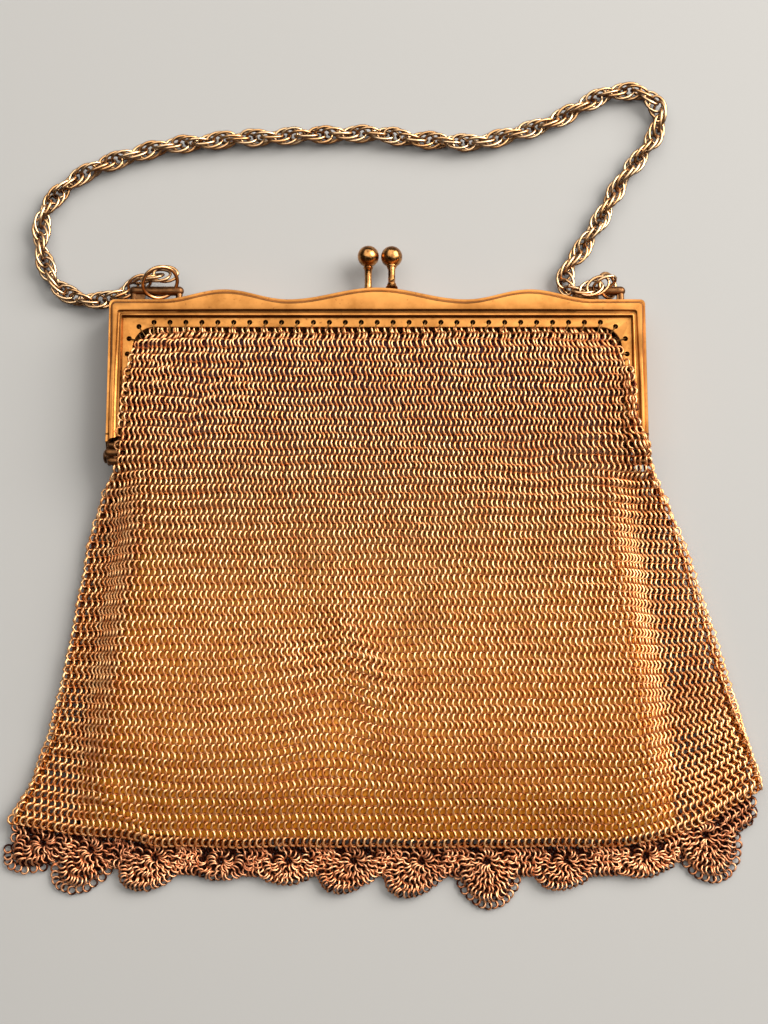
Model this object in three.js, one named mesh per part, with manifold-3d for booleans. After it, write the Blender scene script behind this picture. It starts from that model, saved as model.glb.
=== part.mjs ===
// A ring-mesh purse on a hinged kiss-lock frame, shut and lying on its back with the chain laid out above it.
// Millimetres, +Z up. While building, x = 0 is the frame's middle, y = 0 the hinge axis and z = 0 the table.
import * as THREE from "three";
import { mergeVertices } from "three/addons/utils/BufferGeometryUtils.js";
import Module from "manifold-3d";

const wasm = await Module();
wasm.setup();

// Clearance between pieces that touch, and how far a flat piece's outline may stray from its lines.
const GAP = 0.3;
const OUTLINE_TOLERANCE = 0.02;

// Frame: two stamped brass halves that shut face to face on the middle plane.
const FRAME_WIDTH = 140;
const HALF_DEPTH = 6;
const SHEET = 0.9;
const TOP_Y = 41;
const LEG_END_Y = 3;
const LEG_MITRE = 1.4;
const BORDER = 3.5;
const STEP_Y = 36.4;
const FLANGE = 2.8;
const FLANGE_HEIGHT = 4;
const CORNER_RADIUS = { outer: 2, step: 0.6, flange: 5.5 };
const CORNER_STEPS = 3;
const TOP_STEPS = 24;

// Humps of the wavy top edge: place along the top, half width and rise.
const WAVE = [
  { x: -40, run: 16.7, rise: 2.7 },
  { x: 0, run: 23.3, rise: 3.2 },
  { x: 40, run: 16.7, rise: 2.7 },
];

// Moulding of one half, from the meeting edge over the crown to the flange and back along the inside.
// Each point lies inwards from the outer edge, the step or the flange, at a height off the middle plane.
const MOULDING = [
  { from: "outer", inwards: 0, height: GAP / 2 },
  { from: "outer", inwards: 0, height: 4.4 },
  { from: "outer", inwards: 0.45, height: 5.5 },
  { from: "outer", inwards: 1.3, height: HALF_DEPTH },
  { from: "step", inwards: -1.75, height: 5.6 },
  { from: "step", inwards: -1.35, height: 5.1 },
  { from: "step", inwards: -1, height: 5.5 },
  { from: "step", inwards: -0.3, height: 5.4 },
  { from: "step", inwards: 0, height: FLANGE_HEIGHT },
  { from: "flange", inwards: 0, height: FLANGE_HEIGHT },
  { from: "flange", inwards: 0, height: FLANGE_HEIGHT - SHEET },
  { from: "step", inwards: -0.4, height: FLANGE_HEIGHT - SHEET },
  { from: "step", inwards: -1, height: 4.2 },
  { from: "outer", inwards: 1.4, height: 4.2 },
  { from: "outer", inwards: SHEET, height: 3.6 },
  { from: "outer", inwards: SHEET, height: GAP / 2 },
];

// Sewing holes in the flange.
const HOLE = { diameter: 1.3, pitch: 4.16, fromStep: 1.2, cornerRadius: 6.5, sides: 6, aboveLegEnd: 5 };

// Hinge at the leg ends: an ear on each half and a rivet through both, on an axis along X.
const EAR_RADIUS = 2.4;
const EAR_RISE = 2.2;
const EAR_HEIGHT = 4.8;
const RIVET = { shank: 0.8, inner: 1.6, outer: 1.8, crown: 1.35, rim: 0.6, head: 0.9, sides: 10 };

// Kiss-lock knobs: their middle, spacing and lean, then the foot, post and ball of one knob.
const CLASP_X = 0.7;
const KNOB_STANCE = { spacing: 6.2, lean: 2 };
const KNOB = { foot: 1.7, footHeight: 0.7, collar: 1.2, post: 1, ball: 2.85, centre: 9.6 };
const KNOB_FACETS = { round: 12, ball: 7 };

// Chain loops soldered on the back half, one either side of the middle, the rings through them, and the chain.
const LOOP = { middle: 58.6, span: 14, rise: 4, wire: 1, sides: 8, z: 4.6 };
const RING = { radius: 3.3, wire: 0.5, sides: 14, wireSides: 6 };
const RING_STANCE = { left: { x: -55.5, tilt: 38 }, right: { x: 61.1, tilt: 48 } };
const CHAIN = { radius: 1.9, lift: 0.05, sides: 8, steps: 66 };
const CHAIN_ROUTE = [
  { x: -57.2, y: 50 },
  { x: -61.2, y: 48.5 },
  { x: -64.6, y: 46.9 },
  { x: -68.4, y: 44.8 },
  { x: -73, y: 43.2 },
  { x: -78.3, y: 43.2 },
  { x: -83.8, y: 45.7 },
  { x: -88, y: 51.2 },
  { x: -90.2, y: 58.2 },
  { x: -89.9, y: 65.2 },
  { x: -87.4, y: 70.9 },
  { x: -82.2, y: 76.4 },
  { x: -75.5, y: 80.2 },
  { x: -64.8, y: 84.3 },
  { x: -51.2, y: 87.1 },
  { x: -34.9, y: 88.6 },
  { x: -18.5, y: 89.4 },
  { x: -2.1, y: 89.8 },
  { x: 12, y: 88.2 },
  { x: 25.2, y: 87.4 },
  { x: 36.1, y: 89.4 },
  { x: 47.1, y: 93.2 },
  { x: 55.4, y: 97.4 },
  { x: 62, y: 101.1 },
  { x: 69.2, y: 102 },
  { x: 74.8, y: 99.4 },
  { x: 76.8, y: 94.8 },
  { x: 75.2, y: 89.2 },
  { x: 71.2, y: 83.4 },
  { x: 64.8, y: 74.4 },
  { x: 59, y: 63.8 },
  { x: 54.8, y: 57.2 },
  { x: 51.2, y: 52.2 },
  { x: 50.3, y: 48.8 },
  { x: 52.3, y: 46.9 },
  { x: 55.8, y: 46.8 },
  { x: 60, y: 47.4 },
];

// Bag: rows across it from the mouth to the hem. The side edges lie on the table beyond two folds, where the
// front drops from its height over the lining to a low shelf. Between rows the surface runs straight.
const MESH_WALL = 1.6;
const FOLD_RUN = 10;
const EDGE_ROUND = 0.8;
const HEM_WALL = 2;
const BAG_ROWS = [
  { y: 33.2, left: -62.4, leftFold: -63, rightFold: 63, right: 62.4, height: 11.9, shelf: 11.9 },
  { y: 27, left: -64.6, leftFold: -63, rightFold: 63, right: 64.6, height: 11.9, shelf: 11.9 },
  { y: 18, left: -66.2, leftFold: -63, rightFold: 63, right: 66.2, height: 11.9, shelf: 11.9 },
  { y: 2, left: -66.2, leftFold: -63.5, rightFold: 63.5, right: 66.2, height: 11.9, shelf: 11.9 },
  { y: -3.2, left: -66.2, leftFold: -65, rightFold: 65, right: 66.2, height: 11.9, shelf: 10.5 },
  { y: -6.5, left: -72.4, leftFold: -68, rightFold: 67.5, right: 72.2, height: 11.9, shelf: 5.6 },
  { y: -22, left: -75.2, leftFold: -69.7, rightFold: 68.9, right: 78.5, height: 12, shelf: 4.4 },
  { y: -40, left: -77.9, leftFold: -72.2, rightFold: 71.6, right: 85.3, height: 12, shelf: 4.2 },
  { y: -57, left: -80.5, leftFold: -74.1, rightFold: 73.9, right: 89.6, height: 11.6, shelf: 4.2 },
  { y: -75, left: -84, leftFold: -76.1, rightFold: 76.2, right: 92.9, height: 10.4, shelf: 4.2 },
  { y: -87, left: -87.6, leftFold: -77.6, rightFold: 77.3, right: 95.6, height: 8.2, shelf: 4.2 },
  { y: -95, left: -91.2, leftFold: -78.6, rightFold: 77.8, right: 97.2, height: 5.6, shelf: 4.2 },
  { y: -99.4, left: -93.4, leftFold: -79.5, rightFold: 78, right: 98, height: 4.4, shelf: 4.2 },
];
const MOUTH_Y = BAG_ROWS[0].y;
const HEM_Y = BAG_ROWS.at(-1).y;

// The hem rises towards both side edges, and the rows above it up to a height follow: where the rise starts,
// the run it takes, how far it goes and how it bends.
const HEM_RISE_FROM = -40;
const HEM_RISE = {
  left: { start: 40, run: 53.4, rise: 5.7, bend: 1.5 },
  right: { start: 55, run: 42, rise: 14.3, bend: 2 },
};

// Folds of the front: soft ridges and valleys, each along a line turned from +X, with its reach and lift.
const FOLDS = [
  { x: -4, y: -53, turn: -64, along: 19, across: 7, lift: 1.1 },
  { x: -17, y: -46, turn: -70, along: 14, across: 6, lift: -0.7 },
  { x: -50, y: 18, turn: 70, along: 9, across: 6, lift: 0.5 },
  { x: -38, y: 11, turn: 60, along: 13, across: 4, lift: -0.7 },
  { x: 46, y: -2, turn: -58, along: 14, across: 4.5, lift: -0.7 },
  { x: -62, y: -84, turn: -57, along: 11, across: 3.5, lift: -0.7 },
];

// Slit that parts the bag's front and back beside each leg, so that they lie outside the flanges.
const SLIT = { inner: 59.4, outer: 68, bottom: 2.2, top: MOUTH_Y + 2, wall: 1.4 };

// Lining pouch inside the bag.
const LINING = { wall: 1, slack: 0.9, least: 0.6, fromFold: 2, lip: 2, bottomY: -95.5, cavityBottomY: -86 };

// Scalloped edging: fans below the hem with an eyelet each and a gap in the band on either side of it.
const EDGING = { thickness: 1.7, band: 5.6, bandSteps: 18, eyeDrop: 3.4, eyeRadius: 1.1, eyeSides: 7 };
const EDGING_GAP = { aside: 3.6, drop: 1.9, radius: 1.1, sides: 6 };
const LOBE = { halfWidth: 8.2, apex: 1.7, steps: 8 };
const FANS = [
  { x: -84.4, reach: 7, lean: -4.5 },
  { x: -72.3, reach: 10.5, lean: -4.5 },
  { x: -56.1, reach: 8.5, lean: -3.5 },
  { x: -39.5, reach: 4.8, lean: 0 },
  { x: -22.4, reach: 6, lean: -0.8 },
  { x: -5.8, reach: 8, lean: -3.4 },
  { x: 11.2, reach: 9, lean: -4 },
  { x: 27.8, reach: 11.6, lean: 0.5 },
  { x: 47.9, reach: 7.2, lean: -2 },
  { x: 67.9, reach: 5.5, lean: -1.7 },
  { x: 83.1, reach: 11.5, lean: 1.8 },
];

const GILT = new THREE.MeshStandardMaterial({ color: "#d99a4a", roughness: 0.35, metalness: 1 });
const GILT_BALL = new THREE.MeshStandardMaterial({ color: "#8a6432", roughness: 0.2, metalness: 1 });
const DARK_BRASS = new THREE.MeshStandardMaterial({ color: "#5a3d22", roughness: 0.45, metalness: 1 });
const CHAIN_GOLD = new THREE.MeshStandardMaterial({ color: "#c99a52", roughness: 0.3, metalness: 1 });
const RING_MESH = new THREE.MeshStandardMaterial({ color: "#c58a4e", roughness: 0.4, metalness: 1 });
const GOLD_SATIN = new THREE.MeshStandardMaterial({ color: "#b97a1e", roughness: 0.6, metalness: 0 });

const lerp = THREE.MathUtils.lerp;
const smooth = (t) => THREE.MathUtils.smoothstep(t, 0, 1);
const radians = THREE.MathUtils.degToRad;

// A closed three.js geometry as a solid that can be joined and cut.
function solidOf(geometry) {
  const bare = geometry.clone();
  bare.deleteAttribute("normal");
  bare.deleteAttribute("uv");
  const merged = mergeVertices(bare, 1e-4);
  const vertProperties = new Float32Array(merged.attributes.position.array);
  const triVerts = new Uint32Array(merged.index.array);
  return new wasm.Manifold(new wasm.Mesh({ numProp: 3, vertProperties, triVerts }));
}

// A named mesh made from a solid.
function meshOf(name, solid, material) {
  const { vertProperties, triVerts } = solid.getMesh();
  const geometry = new THREE.BufferGeometry();
  geometry.setAttribute("position", new THREE.BufferAttribute(vertProperties, 3));
  geometry.setIndex(new THREE.BufferAttribute(triVerts, 1));
  geometry.computeVertexNormals();
  const mesh = new THREE.Mesh(geometry, material);
  mesh.name = name;
  return mesh;
}

const joined = (solids) => solids.reduce((all, one) => all.add(one));
const cut = (solid, tools) => tools.reduce((rest, tool) => rest.subtract(tool), solid);

// Triangles that close a ring of points, seen along Y, wound the way the ring runs.
function capOf(ring) {
  const outline = ring.map((point) => new THREE.Vector2(point.x, point.z));
  const turnOf = (points) => Math.sign(THREE.ShapeUtils.area(points));
  const turn = turnOf(outline);
  return THREE.ShapeUtils.triangulateShape(outline, []).map((triangle) =>
    turnOf(triangle.map((i) => outline[i])) === turn ? triangle : triangle.toReversed(),
  );
}

// Triangles that close a pouch's ring: the back's points pair off with the front's, between two edge points.
function pouchCap(ring) {
  const pairs = ring.length / 2 - 1;
  const leftEdge = ring.length - 1;
  const front = (k) => leftEdge - 1 - k;
  const triangles = [
    [leftEdge, 0, front(0)],
    [pairs - 1, pairs, front(pairs - 1)],
  ];
  for (let k = 0; k + 1 < pairs; k++) {
    triangles.push([k, k + 1, front(k + 1)], [k, front(k + 1), front(k)]);
  }
  return triangles;
}

// A solid skinned over rings of points that all have the same count, with both ends closed.
function loft(rings, cap = capOf) {
  const count = rings[0].length;
  const triangles = [];
  for (let i = 0; i + 1 < rings.length; i++) {
    for (let j = 0; j < count; j++) {
      const a = i * count + j;
      const b = i * count + ((j + 1) % count);
      triangles.push([a, a + count, b + count], [a, b + count, b]);
    }
  }
  const last = (rings.length - 1) * count;
  triangles.push(...cap(rings[0]));
  triangles.push(...cap(rings.at(-1)).map((t) => t.toReversed().map((i) => i + last)));
  const points = rings.flat();
  const volume = triangles.reduce((sum, [a, b, c]) => {
    return sum + points[a].dot(points[b].clone().cross(points[c]));
  }, 0);
  const facing = volume > 0 ? triangles : triangles.map((t) => t.toReversed());
  const geometry = new THREE.BufferGeometry();
  geometry.setFromPoints(points);
  geometry.setIndex(facing.flat());
  return solidOf(geometry);
}

// A rod of round section between two points.
function rod(start, end, radius, sides) {
  const run = end.clone().sub(start);
  const geometry = new THREE.CylinderGeometry(radius, radius, run.length(), sides);
  const up = new THREE.Vector3(0, 1, 0);
  geometry.applyQuaternion(new THREE.Quaternion().setFromUnitVectors(up, run.clone().normalize()));
  geometry.translate(...start.clone().lerp(end, 0.5).toArray());
  return solidOf(geometry);
}

// A flat piece on the table: outlines of { x, y } points run together, pierced by others, of one thickness.
function flatPiece(outlines, openings, thickness) {
  const area = (points) => new wasm.CrossSection([points.map(({ x, y }) => [x, y])], "NonZero");
  const whole = openings.map(area).reduce((rest, one) => rest.subtract(one), joined(outlines.map(area)));
  const loops = whole.simplify(OUTLINE_TOLERANCE).toPolygons();
  const paths = loops.map((loop) => loop.map(([x, y]) => new THREE.Vector2(x, y)));
  const [rim, ...holes] = paths.sort((a, b) => THREE.ShapeUtils.area(b) - THREE.ShapeUtils.area(a));
  const shape = new THREE.Shape(rim);
  shape.holes = holes.map((hole) => new THREE.Path(hole));
  return solidOf(new THREE.ExtrudeGeometry(shape, { depth: thickness, bevelEnabled: false }));
}

// Points round a regular polygon.
function polygon({ x, y }, radius, sides) {
  return Array.from({ length: sides }, (_, k) => {
    const angle = (2 * Math.PI * k) / sides;
    return { x: x + radius * Math.cos(angle), y: y + radius * Math.sin(angle) };
  });
}

// Upright round cutter.
function drill({ x, y }, radius, low, high, sides) {
  return rod(new THREE.Vector3(x, y, low), new THREE.Vector3(x, y, high), radius, sides);
}

// Height of the frame's top edge at a place along it.
function topEdge(x) {
  return WAVE.reduce((y, hump) => {
    const t = Math.abs(x - hump.x) / hump.run;
    return t < 1 ? y + (hump.rise / 2) * (1 + Math.cos(Math.PI * t)) : y;
  }, TOP_Y);
}

// Stations round the frame from the right leg's end over the top to the left leg's end.
function frameStations() {
  const reach = {
    outer: { x: FRAME_WIDTH / 2, y: TOP_Y },
    step: { x: FRAME_WIDTH / 2 - BORDER, y: STEP_Y },
    flange: { x: FRAME_WIDTH / 2 - BORDER - FLANGE, y: STEP_Y - FLANGE },
  };
  const lines = Object.keys(reach);
  const station = (place) => Object.fromEntries(lines.map((line) => [line, place(line)]));
  const right = [
    station((line) => ({ x: reach[line].x, y: LEG_END_Y + (line === "outer" ? 0 : LEG_MITRE) })),
  ];
  for (let k = 0; k <= CORNER_STEPS; k++) {
    const angle = ((k / CORNER_STEPS) * Math.PI) / 2;
    right.push(
      station((line) => {
        const radius = CORNER_RADIUS[line];
        return {
          x: reach[line].x - radius + radius * Math.cos(angle),
          y: reach[line].y - radius + radius * Math.sin(angle),
        };
      }),
    );
  }
  const top = [];
  for (let i = 1; i < TOP_STEPS; i++) {
    const share = 1 - (2 * i) / TOP_STEPS;
    top.push(
      station((line) => {
        const x = share * (reach[line].x - CORNER_RADIUS[line]);
        return { x, y: line === "outer" ? topEdge(x) : reach[line].y };
      }),
    );
  }
  const left = right.map((one) => station((line) => ({ x: -one[line].x, y: one[line].y }))).reverse();
  return [...right, ...top, ...left];
}

// Sewing-hole centres, counted out from the middle of the top, round the corner and down the leg.
function sewingHoles() {
  const legX = FRAME_WIDTH / 2 - BORDER - HOLE.fromStep;
  const topY = STEP_Y - HOLE.fromStep;
  const straight = legX - HOLE.cornerRadius;
  const quarter = (HOLE.cornerRadius * Math.PI) / 2;
  const legTop = topY - HOLE.cornerRadius;
  const total = straight + quarter + legTop - (LEG_END_Y + HOLE.aboveLegEnd);
  const holes = [{ x: 0, y: topY }];
  for (let run = HOLE.pitch; run <= total; run += HOLE.pitch) {
    const angle = THREE.MathUtils.clamp((run - straight) / HOLE.cornerRadius, 0, Math.PI / 2);
    const x = Math.min(run, straight) + HOLE.cornerRadius * Math.sin(angle);
    const y = legTop + HOLE.cornerRadius * Math.cos(angle) - Math.max(0, run - straight - quarter);
    holes.push({ x, y }, { x: -x, y });
  }
  return holes;
}

// Hinge ear: a plate that drops from the leg to a round end about the hinge axis.
function hingeEar(side, outerX, facing) {
  const shape = new THREE.Shape();
  const legY = LEG_END_Y + EAR_RISE;
  shape.moveTo(legY, facing * GAP);
  shape.lineTo(legY, facing * EAR_HEIGHT);
  shape.lineTo(0, facing * EAR_RADIUS);
  const quarter = (facing * Math.PI) / 2;
  shape.absarc(0, 0, EAR_RADIUS, quarter, 3 * quarter, facing < 0);
  shape.lineTo(EAR_RADIUS, facing * GAP);
  const geometry = new THREE.ExtrudeGeometry(shape, { depth: SHEET, bevelEnabled: false, curveSegments: 8 });
  // The outline's first axis becomes Y, its second Z, and the plate's thickness X.
  const axes = [new THREE.Vector3(0, 1, 0), new THREE.Vector3(0, 0, 1), new THREE.Vector3(1, 0, 0)];
  geometry.applyMatrix4(new THREE.Matrix4().makeBasis(...axes));
  geometry.translate(side > 0 ? outerX - SHEET : -outerX, 0, HALF_DEPTH);
  return solidOf(geometry);
}

// One half of the frame. The front half faces up and the back half down.
function frameHalf(facing, earX) {
  const rings = frameStations().map((station) => {
    const inwards = new THREE.Vector2(station.step.x - station.outer.x, station.step.y - station.outer.y);
    inwards.normalize();
    return MOULDING.map((point) => {
      const anchor = station[point.from];
      return new THREE.Vector3(
        anchor.x + inwards.x * point.inwards,
        anchor.y + inwards.y * point.inwards,
        HALF_DEPTH + facing * point.height,
      );
    });
  });
  const flangeZ = HALF_DEPTH + facing * (FLANGE_HEIGHT - SHEET / 2);
  const holes = sewingHoles().map((hole) => {
    return drill(hole, HOLE.diameter / 2, flangeZ - SHEET, flangeZ + SHEET, HOLE.sides);
  });
  const ears = [1, -1].map((side) => hingeEar(side, earX, facing));
  const bore = rod(
    new THREE.Vector3(-FRAME_WIDTH / 2 - 1, 0, HALF_DEPTH),
    new THREE.Vector3(FRAME_WIDTH / 2 + 1, 0, HALF_DEPTH),
    RIVET.shank + GAP,
    RIVET.sides,
  );
  return cut(joined([loft(rings), ...ears]), [...holes, bore]);
}

// Loop soldered on the back half's top edge: a bar on two legs, with room below it for a ring.
function chainLoop(middle) {
  const barY = TOP_Y + LOOP.rise;
  const rootY = TOP_Y - SHEET / 2;
  const ends = [-1, 1].map((end) => middle + (end * (LOOP.span - 2 * LOOP.wire)) / 2);
  const legs = ends.map((x) => {
    const [root, tip] = [rootY, barY + LOOP.wire / 2].map((y) => new THREE.Vector3(x, y, LOOP.z));
    return rod(root, tip, LOOP.wire, LOOP.sides);
  });
  const bar = rod(
    new THREE.Vector3(ends[0] - LOOP.wire, barY, LOOP.z),
    new THREE.Vector3(ends[1] + LOOP.wire, barY, LOOP.z),
    LOOP.wire,
    LOOP.sides,
  );
  return joined([bar, ...legs]);
}

// Rivet on the hinge axis, with a flat head inside the ears and a domed one outside.
function hingeRivet(side) {
  const inner = FRAME_WIDTH / 2 - 2 * SHEET - 2 * GAP;
  const outer = FRAME_WIDTH / 2 + GAP;
  const profile = [
    [0, inner - RIVET.head],
    [RIVET.inner, inner - RIVET.head],
    [RIVET.inner, inner],
    [RIVET.shank, inner],
    [RIVET.shank, outer],
    [RIVET.outer, outer],
    [RIVET.crown, outer + RIVET.rim],
    [0, outer + RIVET.head],
  ].map(([radius, along]) => new THREE.Vector2(radius, along));
  const rivet = new THREE.LatheGeometry(profile, RIVET.sides);
  rivet.rotateZ((-side * Math.PI) / 2);
  rivet.translate(0, 0, HALF_DEPTH);
  return solidOf(rivet);
}

// Kiss-lock knob standing on its half's top edge, leaning over the middle plane.
function claspKnob(facing) {
  const neck = Math.asin(KNOB.post / KNOB.ball);
  const profile = [
    [0, 0],
    [KNOB.foot, 0],
    [KNOB.foot, KNOB.footHeight],
    [KNOB.post, KNOB.collar],
  ];
  for (let k = 0; k <= KNOB_FACETS.ball; k++) {
    const angle = lerp(Math.PI - neck, 0, k / KNOB_FACETS.ball);
    profile.push([KNOB.ball * Math.sin(angle), KNOB.centre + KNOB.ball * Math.cos(angle)]);
  }
  profile.at(-1)[0] = 0;
  const points = profile.map(([radius, along]) => new THREE.Vector2(radius, along));
  const knob = new THREE.LatheGeometry(points, KNOB_FACETS.round);
  const x = CLASP_X + (facing * KNOB_STANCE.spacing) / 2;
  knob.rotateX((-facing * KNOB_STANCE.lean) / KNOB.centre);
  knob.translate(x, topEdge(x) + 2 * GAP, HALF_DEPTH + facing * KNOB_STANCE.lean);
  return solidOf(knob);
}

// Ring through a chain loop, hanging on its bar.
function chainRing({ x, tilt }) {
  const ring = new THREE.TorusGeometry(RING.radius, RING.wire, RING.wireSides, RING.sides);
  ring.rotateY(radians(90 - tilt));
  ring.translate(x, TOP_Y + LOOP.rise - LOOP.wire - GAP - RING.wire + RING.radius, LOOP.z);
  return solidOf(ring);
}

// The chain's outer form along its route on the table.
function chainHandle() {
  const points = CHAIN_ROUTE.map(({ x, y }) => new THREE.Vector3(x, y, CHAIN.radius + CHAIN.lift));
  const extrudePath = new THREE.CatmullRomCurve3(points);
  const section = new THREE.Shape();
  section.absarc(0, 0, CHAIN.radius, 0, 2 * Math.PI);
  const round = new THREE.Shape(section.getSpacedPoints(CHAIN.sides).slice(0, CHAIN.sides));
  return solidOf(new THREE.ExtrudeGeometry(round, { steps: CHAIN.steps, extrudePath, bevelEnabled: false }));
}

// How far the hem rises above its lowest line at a place across the bag.
function hemRise(x) {
  const side = x < 0 ? HEM_RISE.left : HEM_RISE.right;
  return side.rise * Math.max(0, (Math.abs(x) - side.start) / side.run) ** side.bend;
}

// Place along the bag of a row at x: rows near the hem bend with it.
function rowY(row, x) {
  return row.y + hemRise(x) * smooth((HEM_RISE_FROM - row.y) / (HEM_RISE_FROM - HEM_Y));
}

// A row between the listed ones.
function rowAt(y) {
  const next = Math.max(1, BAG_ROWS.findIndex((row) => row.y <= y));
  const [a, b] = [BAG_ROWS[next - 1], BAG_ROWS[next]];
  const share = (y - a.y) / (b.y - a.y);
  return Object.fromEntries(Object.keys(a).map((key) => [key, lerp(a[key], b[key], share)]));
}

// Lift of the soft folds at a point of the front.
function relief(x, y) {
  return FOLDS.reduce((sum, fold) => {
    const turn = radians(fold.turn);
    const along = (x - fold.x) * Math.cos(turn) + (y - fold.y) * Math.sin(turn);
    const across = (y - fold.y) * Math.cos(turn) - (x - fold.x) * Math.sin(turn);
    return sum + fold.lift * Math.exp(-((along / fold.along) ** 2) - (across / fold.across) ** 2);
  }, 0);
}

// Height of the bag's outer front face before its soft folds.
function coverHeight(row, x) {
  const cover = smooth((x - row.leftFold) / FOLD_RUN) * smooth((row.rightFold - x) / FOLD_RUN);
  return lerp(row.shelf, row.height, cover);
}

// Ring of points round a flat pouch at one row: along its back, then over its front from right to left.
function girth(row, left, right, places, back, frontOf) {
  const at = (x, z) => new THREE.Vector3(x, rowY(row, x), z);
  const edge = (x) => at(x, (back + frontOf(x)) / 2);
  const under = places.map((x) => at(x, back));
  const over = places.map((x) => at(x, frontOf(x))).reverse();
  return [...under, edge(right), ...over, edge(left)];
}

// Places across a pouch from just inside one edge to the other, closer together over the two folds.
function placesAcross(row, left, right, foldShares, plateauPoints) {
  const [first, last] = [left + EDGE_ROUND, right - EDGE_ROUND];
  const low = Math.max(row.leftFold, first + EDGE_ROUND);
  const high = Math.min(row.rightFold, last - EDGE_ROUND);
  const leftSlope = foldShares.map((share) => low + share * FOLD_RUN);
  const rightSlope = foldShares.map((share) => high - share * FOLD_RUN).reverse();
  const plateau = Array.from({ length: plateauPoints }, (_, k) => {
    return lerp(leftSlope.at(-1), rightSlope[0], (k + 1) / (plateauPoints + 1));
  });
  return [first, ...leftSlope, ...plateau, ...rightSlope, last];
}

// The listed rows between two places along the bag, with a row at each of the two.
function rowsBetween(topY, bottomY) {
  return [rowAt(topY), ...BAG_ROWS.filter(({ y }) => y < topY && y > bottomY), rowAt(bottomY)];
}

// The bag's form at an inset from its outer face, between two places along it.
function bagForm(inset, topY, bottomY) {
  const rings = rowsBetween(topY, bottomY).map((row) => {
    const [left, right] = [row.left + inset, row.right - inset];
    const places = placesAcross(row, left, right, [0, 0.35, 0.65, 1], 8);
    return girth(row, left, right, places, inset, (x) => coverHeight(row, x) + relief(x, row.y) - inset);
  });
  return loft(rings, pouchCap);
}

// The ring-mesh bag: a sleeve with an open mouth and a slit beside each leg.
function meshBag() {
  const cavity = bagForm(MESH_WALL, MOUTH_Y + 1, HEM_Y + HEM_WALL);
  const slits = [-1, 1].map((side) => {
    const width = SLIT.outer - SLIT.inner;
    const length = SLIT.top - SLIT.bottom;
    const box = new THREE.BoxGeometry(width, length, BAG_ROWS[0].height - 2 * SLIT.wall);
    box.translate(side * (SLIT.inner + width / 2), SLIT.bottom + length / 2, BAG_ROWS[0].height / 2);
    return solidOf(box);
  });
  return cut(bagForm(0, MOUTH_Y, HEM_Y), [cavity, ...slits]);
}

// A pouch form that follows the inside of the bag between its folds.
function liningForm(inset, edge, topY, bottomY) {
  const rings = rowsBetween(topY, bottomY).map((row) => {
    const [left, right] = [row.leftFold + edge, row.rightFold - edge];
    const places = placesAcross(row, left, right, [1], 2);
    const frontOf = (x) => Math.max(inset + LINING.least, coverHeight(row, x) - inset - LINING.slack);
    return girth(row, left, right, places, inset, frontOf);
  });
  return loft(rings, pouchCap);
}

// The lining: a thin pouch, open at the mouth.
function lining() {
  const inset = MESH_WALL + GAP;
  const outer = liningForm(inset, LINING.fromFold, MOUTH_Y - GAP, LINING.bottomY);
  const cavityEdge = LINING.fromFold + LINING.lip + LINING.wall;
  const cavity = liningForm(inset + LINING.wall, cavityEdge, MOUTH_Y + 1, LINING.cavityBottomY);
  return outer.subtract(cavity);
}

// The scalloped edging on the table below the hem.
function scallopBorder() {
  const hem = (x) => HEM_Y + hemRise(x);
  const [bandLeft, bandRight] = [BAG_ROWS.at(-1).left + 1, BAG_ROWS.at(-1).right - 1];
  const across = Array.from({ length: EDGING.bandSteps + 1 }, (_, k) => {
    return lerp(bandLeft, bandRight, k / EDGING.bandSteps);
  });
  const band = [
    ...across.map((x) => ({ x, y: hem(x) - EDGING.band })),
    ...across.toReversed().map((x) => ({ x, y: hem(x) - GAP })),
  ];
  const lobes = FANS.map((fan) => {
    const eyeY = hem(fan.x) - EDGING.eyeDrop;
    const rim = Array.from({ length: LOBE.steps + 1 }, (_, k) => {
      const angle = Math.PI * (1 + k / LOBE.steps);
      const drop = Math.sin(angle);
      return { x: fan.x + LOBE.halfWidth * Math.cos(angle) - fan.lean * drop, y: eyeY + fan.reach * drop };
    });
    return [...rim, { x: fan.x, y: eyeY + LOBE.apex }];
  });
  const openings = FANS.flatMap(({ x }) => {
    const gaps = [-1, 1].map((side) => {
      const gapX = x + side * EDGING_GAP.aside;
      return polygon({ x: gapX, y: hem(gapX) - EDGING_GAP.drop }, EDGING_GAP.radius, EDGING_GAP.sides);
    });
    return [...gaps, polygon({ x, y: hem(x) - EDGING.eyeDrop }, EDGING.eyeRadius, EDGING.eyeSides)];
  });
  return flatPiece([band, ...lobes], openings, EDGING.thickness);
}

const outerEarX = FRAME_WIDTH / 2;
const innerEarX = outerEarX - SHEET - GAP;
const backHalf = joined([frameHalf(-1, innerEarX), chainLoop(-LOOP.middle), chainLoop(LOOP.middle)]);

const purse = new THREE.Group();
purse.add(
  meshOf("frame_front", frameHalf(1, outerEarX), GILT),
  meshOf("frame_back", backHalf, GILT),
  meshOf("hinge_rivet_left", hingeRivet(-1), DARK_BRASS),
  meshOf("hinge_rivet_right", hingeRivet(1), DARK_BRASS),
  meshOf("clasp_knob_front", claspKnob(1), GILT_BALL),
  meshOf("clasp_knob_back", claspKnob(-1), GILT_BALL),
  meshOf("mesh_bag", meshBag(), RING_MESH),
  meshOf("lining", lining(), GOLD_SATIN),
  meshOf("scallop_border", scallopBorder(), RING_MESH),
  meshOf("chain_ring_left", chainRing(RING_STANCE.left), CHAIN_GOLD),
  meshOf("chain_ring_right", chainRing(RING_STANCE.right), CHAIN_GOLD),
  meshOf("chain_handle", chainHandle(), CHAIN_GOLD),
);

// The part's origin is on the table, under the middle of its box.
const box = new THREE.Box3().setFromObject(purse);
purse.children.forEach((mesh) => {
  mesh.position.set(-(box.min.x + box.max.x) / 2, -(box.min.y + box.max.y) / 2, -box.min.z);
});

export default purse;
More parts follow.
